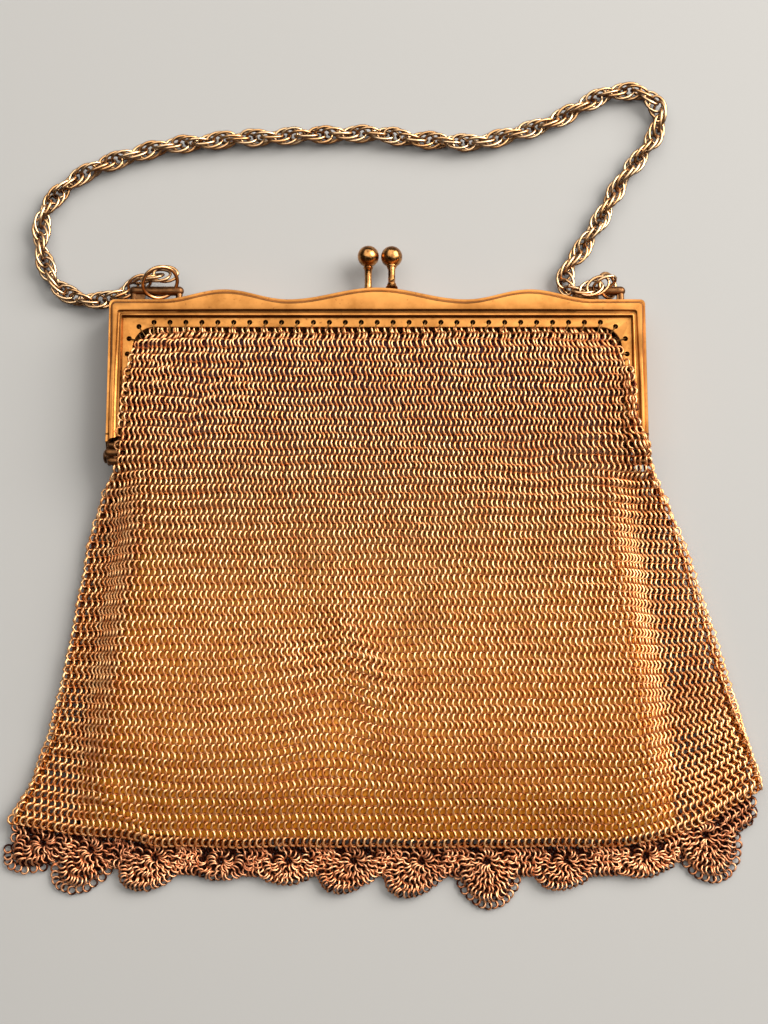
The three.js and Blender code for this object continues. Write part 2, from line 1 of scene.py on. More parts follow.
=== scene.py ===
"""Dresses a ring-mesh purse on a kiss-lock frame, lying on its back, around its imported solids.

Sizes are in millimetres on one drawing: X to the right, Y up the purse from the hinge line, Z up from the floor.
"""
import logging
import math
from dataclasses import dataclass, field
from enum import Enum

import bpy
import numpy as np
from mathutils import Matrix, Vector


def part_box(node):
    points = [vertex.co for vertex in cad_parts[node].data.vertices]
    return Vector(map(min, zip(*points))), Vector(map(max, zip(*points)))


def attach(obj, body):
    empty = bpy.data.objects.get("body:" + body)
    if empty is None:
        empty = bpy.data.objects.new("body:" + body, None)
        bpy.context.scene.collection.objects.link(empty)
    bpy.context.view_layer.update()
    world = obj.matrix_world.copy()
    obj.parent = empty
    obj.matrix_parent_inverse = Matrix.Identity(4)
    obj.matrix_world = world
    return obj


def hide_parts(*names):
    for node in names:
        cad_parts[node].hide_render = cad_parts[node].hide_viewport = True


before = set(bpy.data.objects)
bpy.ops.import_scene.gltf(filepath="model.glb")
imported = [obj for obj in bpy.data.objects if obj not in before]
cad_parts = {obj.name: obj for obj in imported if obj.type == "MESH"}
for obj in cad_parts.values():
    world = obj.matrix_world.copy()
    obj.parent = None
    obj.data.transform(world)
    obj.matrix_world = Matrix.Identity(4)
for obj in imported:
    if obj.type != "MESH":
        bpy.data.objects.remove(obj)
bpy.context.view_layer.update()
LOG = logging.getLogger("purse")

MM = 0.001
# Heights of the bag's mouth and of the middle of its hem on the drawing.
MOUTH_Y = 33.2
HEM_Y = -99.4
SEED = 11
# Least radius of the ring round a pole, and ways that no axis or rod here runs along, to square others to.
TIP = 0.01
ASKEW = (0.31, 0.17, 0.93)
NEARLY_UP = (0.0, 0.05, 1.0)


class Slot(Enum):
    """The record's finish slots."""

    FRAME = "gilt_frame"
    CLASP = "clasp_brass"
    DARK = "dark_brass"
    CHAIN = "chain_brass"
    MESH = "ring_mesh"
    LINING = "gold_lining"


class Facing(Enum):
    """Which half of the purse a piece belongs to, as the sign of its side of the middle plane."""

    FRONT = 1
    BACK = -1


# ---------------------------------------------------------------- small tools


def linear(code: str) -> tuple[float, float, float, float]:
    """Turn an sRGB hex colour into linear RGBA.

    Args:
        code: The colour as "#rrggbb".

    Returns:
        Linear red, green, blue and full alpha.
    """
    shares = [int(code[i : i + 2], 16) / 255 for i in (1, 3, 5)]
    lit = [s / 12.92 if s <= 0.04045 else ((s + 0.055) / 1.055) ** 2.4 for s in shares]
    return (*lit, 1.0)


def add_node(
    tree: bpy.types.NodeTree, kind: str, settings: dict | None = None, inputs: dict | None = None
) -> bpy.types.Node:
    """Add a node with its settings, socket values and links.

    Args:
        tree: The node tree that takes the node.
        kind: The node's type name.
        settings: Properties of the node itself.
        inputs: Input sockets by name or number; a socket as the value is linked, anything else is set.

    Returns:
        The new node.
    """
    node = tree.nodes.new(kind)
    for name, value in (settings or {}).items():
        setattr(node, name, value)
    for key, value in (inputs or {}).items():
        if isinstance(value, bpy.types.NodeSocket):
            tree.links.new(value, node.inputs[key])
        else:
            node.inputs[key].default_value = value
    return node


def ease(share: np.ndarray | float) -> np.ndarray:
    """Rise smoothly from 0 to 1 as the share does."""
    t = np.clip(share, 0.0, 1.0)
    return t * t * (3 - 2 * t)


def unit(vectors: np.ndarray) -> np.ndarray:
    """Scale each vector to length one."""
    return vectors / np.maximum(np.linalg.norm(vectors, axis=-1, keepdims=True), 1e-9)


def quaternions(across: np.ndarray, along: np.ndarray, normal: np.ndarray) -> np.ndarray:
    """Turn rows of three axes into rotations.

    Args:
        across: Where each piece's X axis points.
        along: Where its Y axis points.
        normal: Where its Z axis points.

    Returns:
        One w, x, y, z quaternion a row.
    """
    m = np.stack([across, along, normal], axis=-1)
    trace = m[:, 0, 0] + m[:, 1, 1] + m[:, 2, 2]
    parts = np.stack([trace, m[:, 0, 0], m[:, 1, 1], m[:, 2, 2]], axis=-1)
    best = np.argmax(parts, axis=-1)
    turns = np.zeros((len(m), 4))
    for pick in range(4):
        rows = np.nonzero(best == pick)[0]
        r = m[rows]
        if pick == 0:
            w = np.sqrt(1 + trace[rows]) / 2
            off = [r[:, 2, 1] - r[:, 1, 2], r[:, 0, 2] - r[:, 2, 0], r[:, 1, 0] - r[:, 0, 1]]
            turns[rows] = np.stack([w, *(o / (4 * w) for o in off)], axis=-1)
            continue
        i = pick - 1
        j, k = (i + 1) % 3, (i + 2) % 3
        big = np.sqrt(np.maximum(1 + r[:, i, i] - r[:, j, j] - r[:, k, k], 1e-12)) / 2
        turns[rows, 0] = (r[:, k, j] - r[:, j, k]) / (4 * big)
        turns[rows, 1 + i] = big
        turns[rows, 1 + j] = (r[:, j, i] + r[:, i, j]) / (4 * big)
        turns[rows, 1 + k] = (r[:, k, i] + r[:, i, k]) / (4 * big)
    return turns


@dataclass(frozen=True)
class Datum:
    """Where the drawing's zero stands in the part's frame, in metres."""

    x: float
    y: float

    @classmethod
    def of_part(cls) -> "Datum":
        """Find the zero from the front half's middle and the mesh bag's mouth."""
        low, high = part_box("frame_front")
        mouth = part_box("mesh_bag")[1].y
        return cls((low.x + high.x) / 2, mouth - MOUTH_Y * MM)

    def metres(self, points: np.ndarray) -> np.ndarray:
        """Move drawing points, in millimetres, into the part's frame."""
        return np.asarray(points, float) * MM + np.array([self.x, self.y, 0.0])


DATUM = Datum.of_part()


# ---------------------------------------------------------------- finishes


@dataclass(frozen=True)
class Finish:
    """A real material, its slot in the record and the nodes that draw it."""

    name: str
    slot: Slot | None

    def material(self) -> bpy.types.Material:
        """Make the material at its first use and give the same one after that."""
        made = bpy.data.materials.get(self.name)
        if made is None:
            made = bpy.data.materials.new(self.name)
            made.use_nodes = True
            self.draw(made.node_tree, made.node_tree.nodes["Principled BSDF"])
        return made

    def draw(self, tree: bpy.types.NodeTree, shader: bpy.types.Node) -> None:
        """Draw the finish on a new tree."""
        raise NotImplementedError


@dataclass(frozen=True)
class WornBrass(Finish):
    """Stamped and gilded brass sheet: bright where it is handled, brown in old patches, and darkened in its grooves by
    patina and painted shade.
    """

    bright: str
    worn: str
    tarnish: str
    roughness: float
    patch_mm: float
    patch_share: float
    # width of the specks of tarnish, and of the rubbed scratches as they are drawn
    speck_mm: float = 1.1
    scratch_mm: float = 0.4

    def draw(self, tree: bpy.types.NodeTree, shader: bpy.types.Node) -> None:
        """Draw patches of worn gilding, specks of tarnish, grooves darkened by patina and painted shade, and fine
        rubbed scratches.
        """
        place = add_node(tree, "ShaderNodeTexCoord").outputs["Object"]
        patches = add_node(
            tree,
            "ShaderNodeTexNoise",
            inputs={"Vector": place, "Scale": 1 / (self.patch_mm * MM), "Detail": 4.0, "Roughness": 0.6},
        )
        spread = add_node(
            tree,
            "ShaderNodeMapRange",
            {"interpolation_type": "SMOOTHSTEP"},
            {"Value": patches.outputs["Fac"], "From Min": 0.36, "From Max": 0.7, "To Max": self.patch_share},
        )
        body = add_node(
            tree,
            "ShaderNodeMix",
            {"data_type": "RGBA"},
            {0: spread.outputs[0], 6: linear(self.bright), 7: linear(self.worn)},
        )
        specks = add_node(
            tree,
            "ShaderNodeTexNoise",
            inputs={"Vector": place, "Scale": 1 / (self.speck_mm * MM), "Detail": 3.0, "Roughness": 0.65},
        )
        dots = add_node(
            tree,
            "ShaderNodeMapRange",
            {"interpolation_type": "SMOOTHSTEP"},
            {"Value": specks.outputs["Fac"], "From Min": 0.58, "From Max": 0.76, "To Max": 0.55},
        )
        # The piece's attribute darkens grooves with patina, and adds painted shade where the moulding faces away from
        # the light or lies under the mesh.
        hollow = add_node(tree, "ShaderNodeAttribute", {"attribute_name": "hollow"})
        dark = add_node(
            tree,
            "ShaderNodeMath",
            {"operation": "MAXIMUM"},
            {0: dots.outputs[0], 1: hollow.outputs["Fac"]},
        )
        colour = add_node(
            tree,
            "ShaderNodeMix",
            {"data_type": "RGBA"},
            {0: dark.outputs[0], 6: body.outputs[2], 7: linear(self.tarnish)},
        )
        sheen = add_node(
            tree,
            "ShaderNodeMapRange",
            inputs={
                "Value": specks.outputs["Fac"],
                "From Min": 0.3,
                "From Max": 0.75,
                "To Min": self.roughness - 0.06,
                "To Max": self.roughness + 0.18,
            },
        )
        # Rubbed scratches are a few hundredths of a millimetre wide, and are drawn wider so that they show.
        lines = add_node(
            tree, "ShaderNodeMapping", inputs={"Vector": place, "Rotation": (0.0, 0.0, 0.5), "Scale": (0.06, 1.0, 1.0)}
        )
        scratches = add_node(
            tree,
            "ShaderNodeTexNoise",
            inputs={"Vector": lines.outputs[0], "Scale": 1 / (self.scratch_mm * MM), "Detail": 2.0},
        )
        relief = add_node(
            tree,
            "ShaderNodeBump",
            inputs={"Strength": 0.12, "Distance": 0.05 * MM, "Height": scratches.outputs["Fac"]},
        )
        shader.inputs["Metallic"].default_value = 1.0
        tree.links.new(colour.outputs[2], shader.inputs["Base Color"])
        tree.links.new(sheen.outputs[0], shader.inputs["Roughness"])
        tree.links.new(relief.outputs[0], shader.inputs["Normal"])


@dataclass(frozen=True)
class DrawnWire(Finish):
    """Drawn brass wire under thin gilding: bright on top over a painted shade on the low side, each ring a little paler
    or redder than the next.
    """

    pale: str
    warm: str
    tarnish: str
    roughness: float
    tarnish_share: float
    # painted shade on the low side of a ring, at the mouth and at the hem (there an orange painted reflection of the
    # lining), and how much of it
    painted_shade_mouth: str = "#000000"
    painted_shade_hem: str = "#000000"
    painted_shade_share: float = 0.0
    patch_mm: float = 14.0
    # heights between which the colours go over from the mouth's to the hem's, and how far a patch shifts them
    fade_from_mm: float = 75.0
    fade_to_mm: float = -15.0
    shift_mm: float = 90.0

    def draw(self, tree: bpy.types.NodeTree, shader: bpy.types.Node) -> None:
        """Draw a tone for each ring, patches of tarnish that run over many rings, darker rings towards the mouth, and a
        painted shade on the low sides.
        """
        place = add_node(tree, "ShaderNodeTexCoord").outputs["Object"]
        tone = add_node(tree, "ShaderNodeAttribute", {"attribute_name": "tone"})
        body = add_node(
            tree,
            "ShaderNodeMix",
            {"data_type": "RGBA"},
            {0: tone.outputs["Fac"], 6: linear(self.warm), 7: linear(self.pale)},
        )
        patches = add_node(
            tree,
            "ShaderNodeTexNoise",
            inputs={"Vector": place, "Scale": 1 / (self.patch_mm * MM), "Detail": 5.0, "Roughness": 0.65},
        )
        spread = add_node(
            tree,
            "ShaderNodeMapRange",
            {"interpolation_type": "SMOOTHSTEP"},
            {"Value": patches.outputs["Fac"], "From Min": 0.42, "From Max": 0.75, "To Max": self.tarnish_share},
        )
        height = add_node(tree, "ShaderNodeSeparateXYZ", inputs={0: place}).outputs["Y"]
        clouded = add_node(
            tree,
            "ShaderNodeMath",
            {"operation": "MULTIPLY_ADD"},
            {0: patches.outputs["Fac"], 1: self.shift_mm * MM, 2: height},
        )
        lower = add_node(
            tree,
            "ShaderNodeMapRange",
            {"interpolation_type": "SMOOTHSTEP"},
            {"Value": clouded.outputs[0], "From Min": self.fade_from_mm * MM, "From Max": self.fade_to_mm * MM},
        )
        # Towards the mouth the rings are drawn darker, by up to 0.6 of the tarnish share.
        toward_mouth = add_node(
            tree,
            "ShaderNodeMapRange",
            inputs={"Value": lower.outputs[0], "To Min": 0.6 * self.tarnish_share, "To Max": 0.0},
        )
        darker_share = add_node(
            tree, "ShaderNodeMath", {"operation": "MAXIMUM"}, {0: spread.outputs[0], 1: toward_mouth.outputs[0]}
        )
        spotted = add_node(
            tree,
            "ShaderNodeMix",
            {"data_type": "RGBA"},
            {0: darker_share.outputs[0], 6: body.outputs[2], 7: linear(self.tarnish)},
        )
        # Painted shade on each ring's low side: dark red at the mouth, orange at the hem as a painted reflection of the
        # lining; how far up the ring a point lies sets how much it takes.
        shade = add_node(
            tree,
            "ShaderNodeMix",
            {"data_type": "RGBA"},
            {0: lower.outputs[0], 6: linear(self.painted_shade_mouth), 7: linear(self.painted_shade_hem)},
        )
        rise = add_node(tree, "ShaderNodeAttribute", {"attribute_name": "rise"})
        deep = add_node(
            tree,
            "ShaderNodeMapRange",
            {"interpolation_type": "SMOOTHSTEP"},
            {"Value": rise.outputs["Fac"], "From Min": 0.72, "From Max": 0.3, "To Max": self.painted_shade_share},
        )
        colour = add_node(
            tree,
            "ShaderNodeMix",
            {"data_type": "RGBA"},
            {0: deep.outputs[0], 6: spotted.outputs[2], 7: shade.outputs[2]},
        )
        dull = add_node(
            tree,
            "ShaderNodeMapRange",
            inputs={
                "Value": patches.outputs["Fac"],
                "From Min": 0.3,
                "From Max": 0.75,
                "To Min": self.roughness - 0.04,
                "To Max": self.roughness + 0.14,
            },
        )
        shader.inputs["Metallic"].default_value = 1.0
        tree.links.new(colour.outputs[2], shader.inputs["Base Color"])
        tree.links.new(dull.outputs[0], shader.inputs["Roughness"])


@dataclass(frozen=True)
class Satin(Finish):
    """Woven satin: soft gold with a low sheen, cloudy folds, a painted shade towards the mouth and a fine weave."""

    light: str
    deep: str
    mouth_shade: str
    roughness: float
    thread_mm: float
    cloud_mm: float = 16.0
    # heights between which a painted shade grows towards the mouth
    mouth_shade_from_mm: float = -45.0
    mouth_shade_to_mm: float = 30.0

    def draw(self, tree: bpy.types.NodeTree, shader: bpy.types.Node) -> None:
        """Draw cloudy colour, a painted shade towards the mouth, and a weave from two sets of threads."""
        place = add_node(tree, "ShaderNodeTexCoord").outputs["Object"]
        clouds = add_node(
            tree,
            "ShaderNodeTexNoise",
            inputs={"Vector": place, "Scale": 1 / (self.cloud_mm * MM), "Detail": 3.0},
        )
        colour = add_node(
            tree,
            "ShaderNodeMix",
            {"data_type": "RGBA"},
            {0: clouds.outputs["Fac"], 6: linear(self.deep), 7: linear(self.light)},
        )
        height = add_node(tree, "ShaderNodeSeparateXYZ", inputs={0: place}).outputs["Y"]
        toward_mouth = add_node(
            tree,
            "ShaderNodeMapRange",
            {"interpolation_type": "SMOOTHSTEP"},
            {"Value": height, "From Min": self.mouth_shade_from_mm * MM, "From Max": self.mouth_shade_to_mm * MM},
        )
        # Painted shade darkens the lining towards the mouth.
        mouth_shade = add_node(
            tree,
            "ShaderNodeMix",
            {"data_type": "RGBA"},
            {0: toward_mouth.outputs[0], 6: colour.outputs[2], 7: linear(self.mouth_shade)},
        )
        # A wave texture's band takes 2 pi / 20 of its scaled length.
        bands = math.pi / 10 / (self.thread_mm * MM)
        threads = [
            add_node(tree, "ShaderNodeTexWave", {"bands_direction": way}, {"Vector": place, "Scale": bands})
            for way in ("X", "Y")
        ]
        weave = add_node(
            tree,
            "ShaderNodeMath",
            {"operation": "MULTIPLY"},
            {0: threads[0].outputs["Fac"], 1: threads[1].outputs["Fac"]},
        )
        relief = add_node(
            tree,
            "ShaderNodeBump",
            inputs={"Strength": 0.35, "Distance": 0.1 * MM, "Height": weave.outputs[0]},
        )
        shader.inputs["Roughness"].default_value = self.roughness
        tree.links.new(mouth_shade.outputs[2], shader.inputs["Base Color"])
        tree.links.new(relief.outputs[0], shader.inputs["Normal"])


@dataclass(frozen=True)
class MattPaper(Finish):
    """Matt paper sweep: pale and even, with a faint tooth."""

    shade: str
    roughness: float = 0.85
    # Paper's flecks are finer, and are drawn as wide as this so that they show at all.
    tooth_mm: float = 3.0

    def draw(self, tree: bpy.types.NodeTree, shader: bpy.types.Node) -> None:
        """Draw the paper's tooth."""
        place = add_node(tree, "ShaderNodeTexCoord").outputs["Object"]
        tooth = add_node(tree, "ShaderNodeTexNoise", inputs={"Vector": place, "Scale": 1 / (self.tooth_mm * MM)})
        relief = add_node(
            tree,
            "ShaderNodeBump",
            inputs={"Strength": 0.05, "Distance": 0.1 * MM, "Height": tooth.outputs["Fac"]},
        )
        shader.inputs["Base Color"].default_value = linear(self.shade)
        shader.inputs["Roughness"].default_value = self.roughness
        tree.links.new(relief.outputs[0], shader.inputs["Normal"])


# Gilded brass sheet, stamped: orange gold on the crowns, brown in the grooves from patina and painted shade, rubbed and
# spotted with age.
GILT_SHEET = WornBrass("gilded_brass_stamped", Slot.FRAME, "#c48544", "#8a5522", "#3c1d0a", 0.36, 9.0, 0.7)
# Turned and polished brass: sharp bright glints on a deep brown gold.
TURNED_BRASS = WornBrass("brass_turned_polished", Slot.CLASP, "#c48c50", "#6e4322", "#2a160c", 0.2, 1.7, 0.95)
# Brass left to darken: nearly bronze, with a dull shine on its high points.
DARK_BRASS = WornBrass("brass_darkened", Slot.DARK, "#7a5230", "#4c311d", "#22150d", 0.36, 2.5, 0.8)
# Gilded brass wire, drawn and closed into rings: pale arcs over a red-brown painted shade on their low sides, orange
# towards the hem as a painted reflection of the lining.
RING_WIRE = DrawnWire(
    "gilded_brass_wire_rings", Slot.MESH, "#ffd094", "#f0a666", "#ae5c34", 0.45, 0.5, "#4c1816", "#964a08", 0.97
)
# The same wire where no lining lies behind it: low sides in a dark red painted shade.
EDGE_WIRE = DrawnWire(
    "gilded_brass_wire_edging", Slot.MESH, "#f3b584", "#d2885a", "#7a3a28", 0.45, 0.7, "#2c0d0a", "#2c0d0a", 0.97
)
# The same wire at the back of the edging, coloured near black all through as painted shade, so that gaps read dark.
SHADED_BACK_WIRE = DrawnWire("brass_wire_tarnished_dark", Slot.MESH, "#4a2418", "#351712", "#1e0c09", 0.5, 0.5)
# Gilded brass wire, drawn and bent into oval links: a paler gold, worn smooth, with a dark painted shade on the sides
# and undersides that face away from the light.
LINK_WIRE = DrawnWire(
    "gilded_brass_wire_links", Slot.CHAIN, "#fbd9a8", "#e2ac70", "#955c38", 0.24, 0.5, "#471c12", "#471c12", 0.94
)
# Soft brass wire for sewing: thin, brown and dull.
SEWING_WIRE = DrawnWire("brass_sewing_wire_dull", Slot.DARK, "#8a6338", "#60411f", "#33200f", 0.4, 0.6)
# Satin, woven in gold silk: threads of 0.3 mm are too fine to show, so they are drawn at 0.8 mm. Towards the mouth it
# is darkened with a painted shade.
GOLD_SATIN = Satin("silk_satin_gold", Slot.LINING, "#faa91e", "#de880c", "#642626", 0.5, 0.8)
# Paper, matt and uncoated: pale and even, without shine.
PALE_PAPER = MattPaper("paper_sweep_matt", None, "#96938e")


# ---------------------------------------------------------------- meshes


class Sketch:
    """Points and faces of one piece, gathered in drawing millimetres."""

    def __init__(self) -> None:
        """Start with nothing drawn."""
        self.points: list[np.ndarray] = []
        self.hollow: list[np.ndarray] = []
        self.faces: list[list[int]] = []
        self.count = 0

    def add(self, points: np.ndarray, faces: list[list[int]], hollow: np.ndarray | None = None) -> None:
        """Add a patch of points and faces.

        Args:
            points: One point a row.
            faces: Point numbers within this patch.
            hollow: How dark each point is drawn, from 0 to 1, as patina in grooves and painted shade.
        """
        self.faces.extend([[self.count + i for i in face] for face in faces])
        self.points.append(np.asarray(points, float))
        self.hollow.append(np.zeros(len(points)) if hollow is None else np.asarray(hollow, float))
        self.count += len(points)

    def loft(self, rings: np.ndarray, hollow: np.ndarray | None = None) -> None:
        """Join closed rings of points into a skin, and fill the first and the last.

        Args:
            rings: Points by ring and place on the ring.
            hollow: How dark each point is drawn, as patina in grooves and painted shade.
        """
        count, size = rings.shape[:2]
        faces = [
            [a * size + b, a * size + (b + 1) % size, (a + 1) * size + (b + 1) % size, (a + 1) * size + b]
            for a in range(count - 1)
            for b in range(size)
        ]
        faces.append(list(range(size))[::-1])
        faces.append([(count - 1) * size + b for b in range(size)])
        depth = None if hollow is None else hollow.ravel()
        self.add(rings.reshape(-1, 3), faces, depth)

    def turned(self, profile: list[tuple[float, float]], foot: np.ndarray, axis: np.ndarray, sides: int) -> None:
        """Turn a profile about an axis, as on a lathe.

        Args:
            profile: Radius and height pairs, from one end to the other.
            foot: Where height zero stands.
            axis: The way that height grows.
            sides: Faces round the axis.
        """
        axis = unit(np.asarray(axis, float))
        side = unit(np.cross(axis, ASKEW))
        other = np.cross(axis, side)
        turn = np.linspace(0, 2 * math.pi, sides, endpoint=False)
        spokes = np.cos(turn)[:, None] * side + np.sin(turn)[:, None] * other
        rings = np.stack([foot + axis * height + spokes * max(radius, TIP) for radius, height in profile])
        self.loft(rings)

    def rod(self, path: np.ndarray, radius: float, sides: int, round_ends: int = 4) -> None:
        """Draw a round rod with domed ends along a path.

        Args:
            path: Points along the rod's middle.
            radius: The rod's radius.
            sides: Faces round the rod.
            round_ends: Rings in each domed end.
        """
        path = np.asarray(path, float)
        ways = unit(np.gradient(path, axis=0))
        turn = np.linspace(0, 2 * math.pi, sides, endpoint=False)
        side = unit(np.cross(ways, NEARLY_UP))
        other = np.cross(ways, side)
        dome = np.linspace(0, math.pi / 2, round_ends + 1)[1:]
        rings = []
        for bend in dome[::-1]:
            rings.append((path[0] - ways[0] * radius * math.sin(bend), 0, radius * math.cos(bend)))
        rings.extend((point, i, radius) for i, point in enumerate(path))
        for bend in dome:
            rings.append((path[-1] + ways[-1] * radius * math.sin(bend), len(path) - 1, radius * math.cos(bend)))
        skin = [
            middle + max(size, TIP) * (np.cos(turn)[:, None] * side[i] + np.sin(turn)[:, None] * other[i])
            for middle, i, size in rings
        ]
        self.loft(np.stack(skin))

    def piece(self, name: str, finish: Finish, sharp: float = 40.0) -> bpy.types.Object:
        """Make the drawn patches one smooth-shaded object in the part's frame.

        Args:
            name: The object's name.
            finish: Its material.
            sharp: Edges that turn by more than this many degrees stay sharp.

        Returns:
            The object, with its place in its mesh.
        """
        mesh = bpy.data.meshes.new(name)
        mesh.from_pydata(DATUM.metres(np.concatenate(self.points)).tolist(), [], self.faces)
        mesh.update()
        depth = mesh.attributes.new("hollow", "FLOAT", "POINT")
        depth.data.foreach_set("value", np.concatenate(self.hollow).astype(np.float32))
        mesh.materials.append(finish.material())
        shade(mesh, sharp)
        piece = bpy.data.objects.new(name, mesh)
        bpy.context.scene.collection.objects.link(piece)
        return piece


def shade(mesh: bpy.types.Mesh, sharp: float) -> None:
    """Shade a mesh smooth, but for edges that turn by more than so many degrees."""
    mesh.shade_smooth()
    mesh.set_sharp_from_angle(angle=math.radians(sharp))


def settle(piece: bpy.types.Object, finish: Finish, *nodes: str) -> None:
    """Ride a finished piece on the purse and let it stand for its solids.

    Args:
        piece: The finished piece.
        finish: Not used.
        nodes: The solids that it stands for.
    """
    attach(piece, "root")
    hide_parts(*nodes)
    LOG.info("%s: %d faces", piece.name, len(piece.data.polygons))


# ---------------------------------------------------------------- geometry nodes


class NodeTool:
    """A Geometry Nodes tree with named inputs, run once on a piece."""

    name: str = "tool"
    sockets: dict[str, str] = {}

    def __init__(self) -> None:
        """Build the tree and its sockets."""
        self.tree = bpy.data.node_groups.new(self.name, "GeometryNodeTree")
        face = self.tree.interface
        face.new_socket("Geometry", in_out="INPUT", socket_type="NodeSocketGeometry")
        self.keys = {
            name: face.new_socket(name, in_out="INPUT", socket_type=kind).identifier
            for name, kind in self.sockets.items()
        }
        face.new_socket("Geometry", in_out="OUTPUT", socket_type="NodeSocketGeometry")
        given = self.tree.nodes.new("NodeGroupInput")
        made = self.draw({socket.name: socket for socket in given.outputs if socket.name})
        add_node(self.tree, "NodeGroupOutput", inputs={0: made})

    def draw(self, given: dict[str, bpy.types.NodeSocket]) -> bpy.types.NodeSocket:
        """Draw the tree from its inputs and give the socket that holds the result."""
        raise NotImplementedError

    def run(self, piece: bpy.types.Object, **values: object) -> None:
        """Run the tree on a piece and leave a plain mesh.

        Args:
            piece: The object whose mesh goes in and is replaced.
            values: The inputs, with _ for each space in a name.
        """
        tool = piece.modifiers.new(self.name, "NODES")
        tool.node_group = self.tree
        for name, value in values.items():
            tool[self.keys[name.replace("_", " ")]] = value
        bpy.context.view_layer.update()
        done = piece.evaluated_get(bpy.context.evaluated_depsgraph_get())
        mesh = bpy.data.meshes.new_from_object(done)
        piece.modifiers.clear()
        old, piece.data = piece.data, mesh
        mesh.name = piece.name
        bpy.data.meshes.remove(old)


class WireRings(NodeTool):
    """Sets one closed wire, round or oval, on every point, turned as the point says."""

    name = "wire_rings"
    sockets = {
        "Half Width": "NodeSocketFloat",
        "Half Length": "NodeSocketFloat",
        "Wire Radius": "NodeSocketFloat",
        "Bends": "NodeSocketInt",
        "Sides": "NodeSocketInt",
        "Finish": "NodeSocketMaterial",
    }

    def draw(self, given: dict[str, bpy.types.NodeSocket]) -> bpy.types.NodeSocket:
        """Draw an oval, give it the wire's thickness, and set it on the points."""
        tree = self.tree
        circle = add_node(
            tree, "GeometryNodeCurvePrimitiveCircle", inputs={"Resolution": given["Bends"], "Radius": 1.0}
        )
        size = add_node(
            tree, "ShaderNodeCombineXYZ", inputs={"X": given["Half Width"], "Y": given["Half Length"], "Z": 1.0}
        )
        # Each point keeps how far up its ring it lies, from 0 to 1, which sets the painted shade on the ring's low
        # side.
        spot = add_node(tree, "GeometryNodeInputPosition").outputs[0]
        place = add_node(tree, "ShaderNodeSeparateXYZ", inputs={0: spot})
        rise = add_node(
            tree, "ShaderNodeMath", {"operation": "MULTIPLY_ADD"}, {0: place.outputs["X"], 1: 0.5, 2: 0.5}
        )
        sided = add_node(
            tree,
            "GeometryNodeStoreNamedAttribute",
            {"data_type": "FLOAT", "domain": "POINT"},
            {"Geometry": circle.outputs[0], "Name": "rise", "Value": rise.outputs[0]},
        )
        oval = add_node(
            tree, "GeometryNodeTransform", inputs={"Geometry": sided.outputs[0], "Scale": size.outputs[0]}
        )
        section = add_node(
            tree,
            "GeometryNodeCurvePrimitiveCircle",
            inputs={"Resolution": given["Sides"], "Radius": given["Wire Radius"]},
        )
        wire = add_node(
            tree, "GeometryNodeCurveToMesh", inputs={"Curve": oval.outputs[0], "Profile Curve": section.outputs[0]}
        )
        turn = add_node(
            tree, "GeometryNodeInputNamedAttribute", {"data_type": "QUATERNION"}, {"Name": "turn"}
        )
        placed = add_node(
            tree,
            "GeometryNodeInstanceOnPoints",
            inputs={"Points": given["Geometry"], "Instance": wire.outputs[0], "Rotation": turn.outputs[0]},
        )
        real = add_node(tree, "GeometryNodeRealizeInstances", inputs={"Geometry": placed.outputs[0]})
        smooth = add_node(tree, "GeometryNodeSetShadeSmooth", inputs={"Geometry": real.outputs[0]})
        dressed = add_node(
            tree, "GeometryNodeSetMaterial", inputs={"Geometry": smooth.outputs[0], "Material": given["Finish"]}
        )
        return dressed.outputs[0]


class PiercedSheet(NodeTool):
    """Drills a round hole through a piece at every point of another object."""

    name = "pierced_sheet"
    sockets = {
        "Holes": "NodeSocketObject",
        "Hole Radius": "NodeSocketFloat",
        "Hole Depth": "NodeSocketFloat",
        "Hole Sides": "NodeSocketInt",
        "Finish": "NodeSocketMaterial",
    }

    def draw(self, given: dict[str, bpy.types.NodeSocket]) -> bpy.types.NodeSocket:
        """Set a drill on every point and cut them all from the piece."""
        tree = self.tree
        marks = add_node(tree, "GeometryNodeObjectInfo", {"transform_space": "ORIGINAL"}, {"Object": given["Holes"]})
        drill = add_node(
            tree,
            "GeometryNodeMeshCylinder",
            inputs={
                "Vertices": given["Hole Sides"],
                "Radius": given["Hole Radius"],
                "Depth": given["Hole Depth"],
            },
        )
        drills = add_node(
            tree,
            "GeometryNodeInstanceOnPoints",
            inputs={"Points": marks.outputs["Geometry"], "Instance": drill.outputs["Mesh"]},
        )
        real = add_node(tree, "GeometryNodeRealizeInstances", inputs={"Geometry": drills.outputs[0]})
        pierced = add_node(
            tree,
            "GeometryNodeMeshBoolean",
            {"operation": "DIFFERENCE", "solver": "EXACT"},
            {"Mesh 1": given["Geometry"], "Mesh 2": real.outputs[0]},
        )
        dressed = add_node(
            tree, "GeometryNodeSetMaterial", inputs={"Geometry": pierced.outputs[0], "Material": given["Finish"]}
        )
        return dressed.outputs[0]


def marks(
    name: str, points: np.ndarray, turns: np.ndarray | None = None, tones: np.ndarray | None = None
) -> bpy.types.Object:
    """Make an object of loose points for the node tools.

    Args:
        name: The object's name.
        points: Drawing points in millimetres.
        turns: A quaternion for each point.
        tones: A tone from 0 to 1 for each point.

    Returns:
        The object.
    """
    mesh = bpy.data.meshes.new(name)
    mesh.from_pydata(DATUM.metres(points).tolist(), [], [])
    if turns is not None:
        mesh.attributes.new("turn", "QUATERNION", "POINT").data.foreach_set("value", turns.astype(np.float32).ravel())
    if tones is not None:
        mesh.attributes.new("tone", "FLOAT", "POINT").data.foreach_set("value", tones.astype(np.float32))
    piece = bpy.data.objects.new(name, mesh)
    bpy.context.scene.collection.objects.link(piece)
    return piece


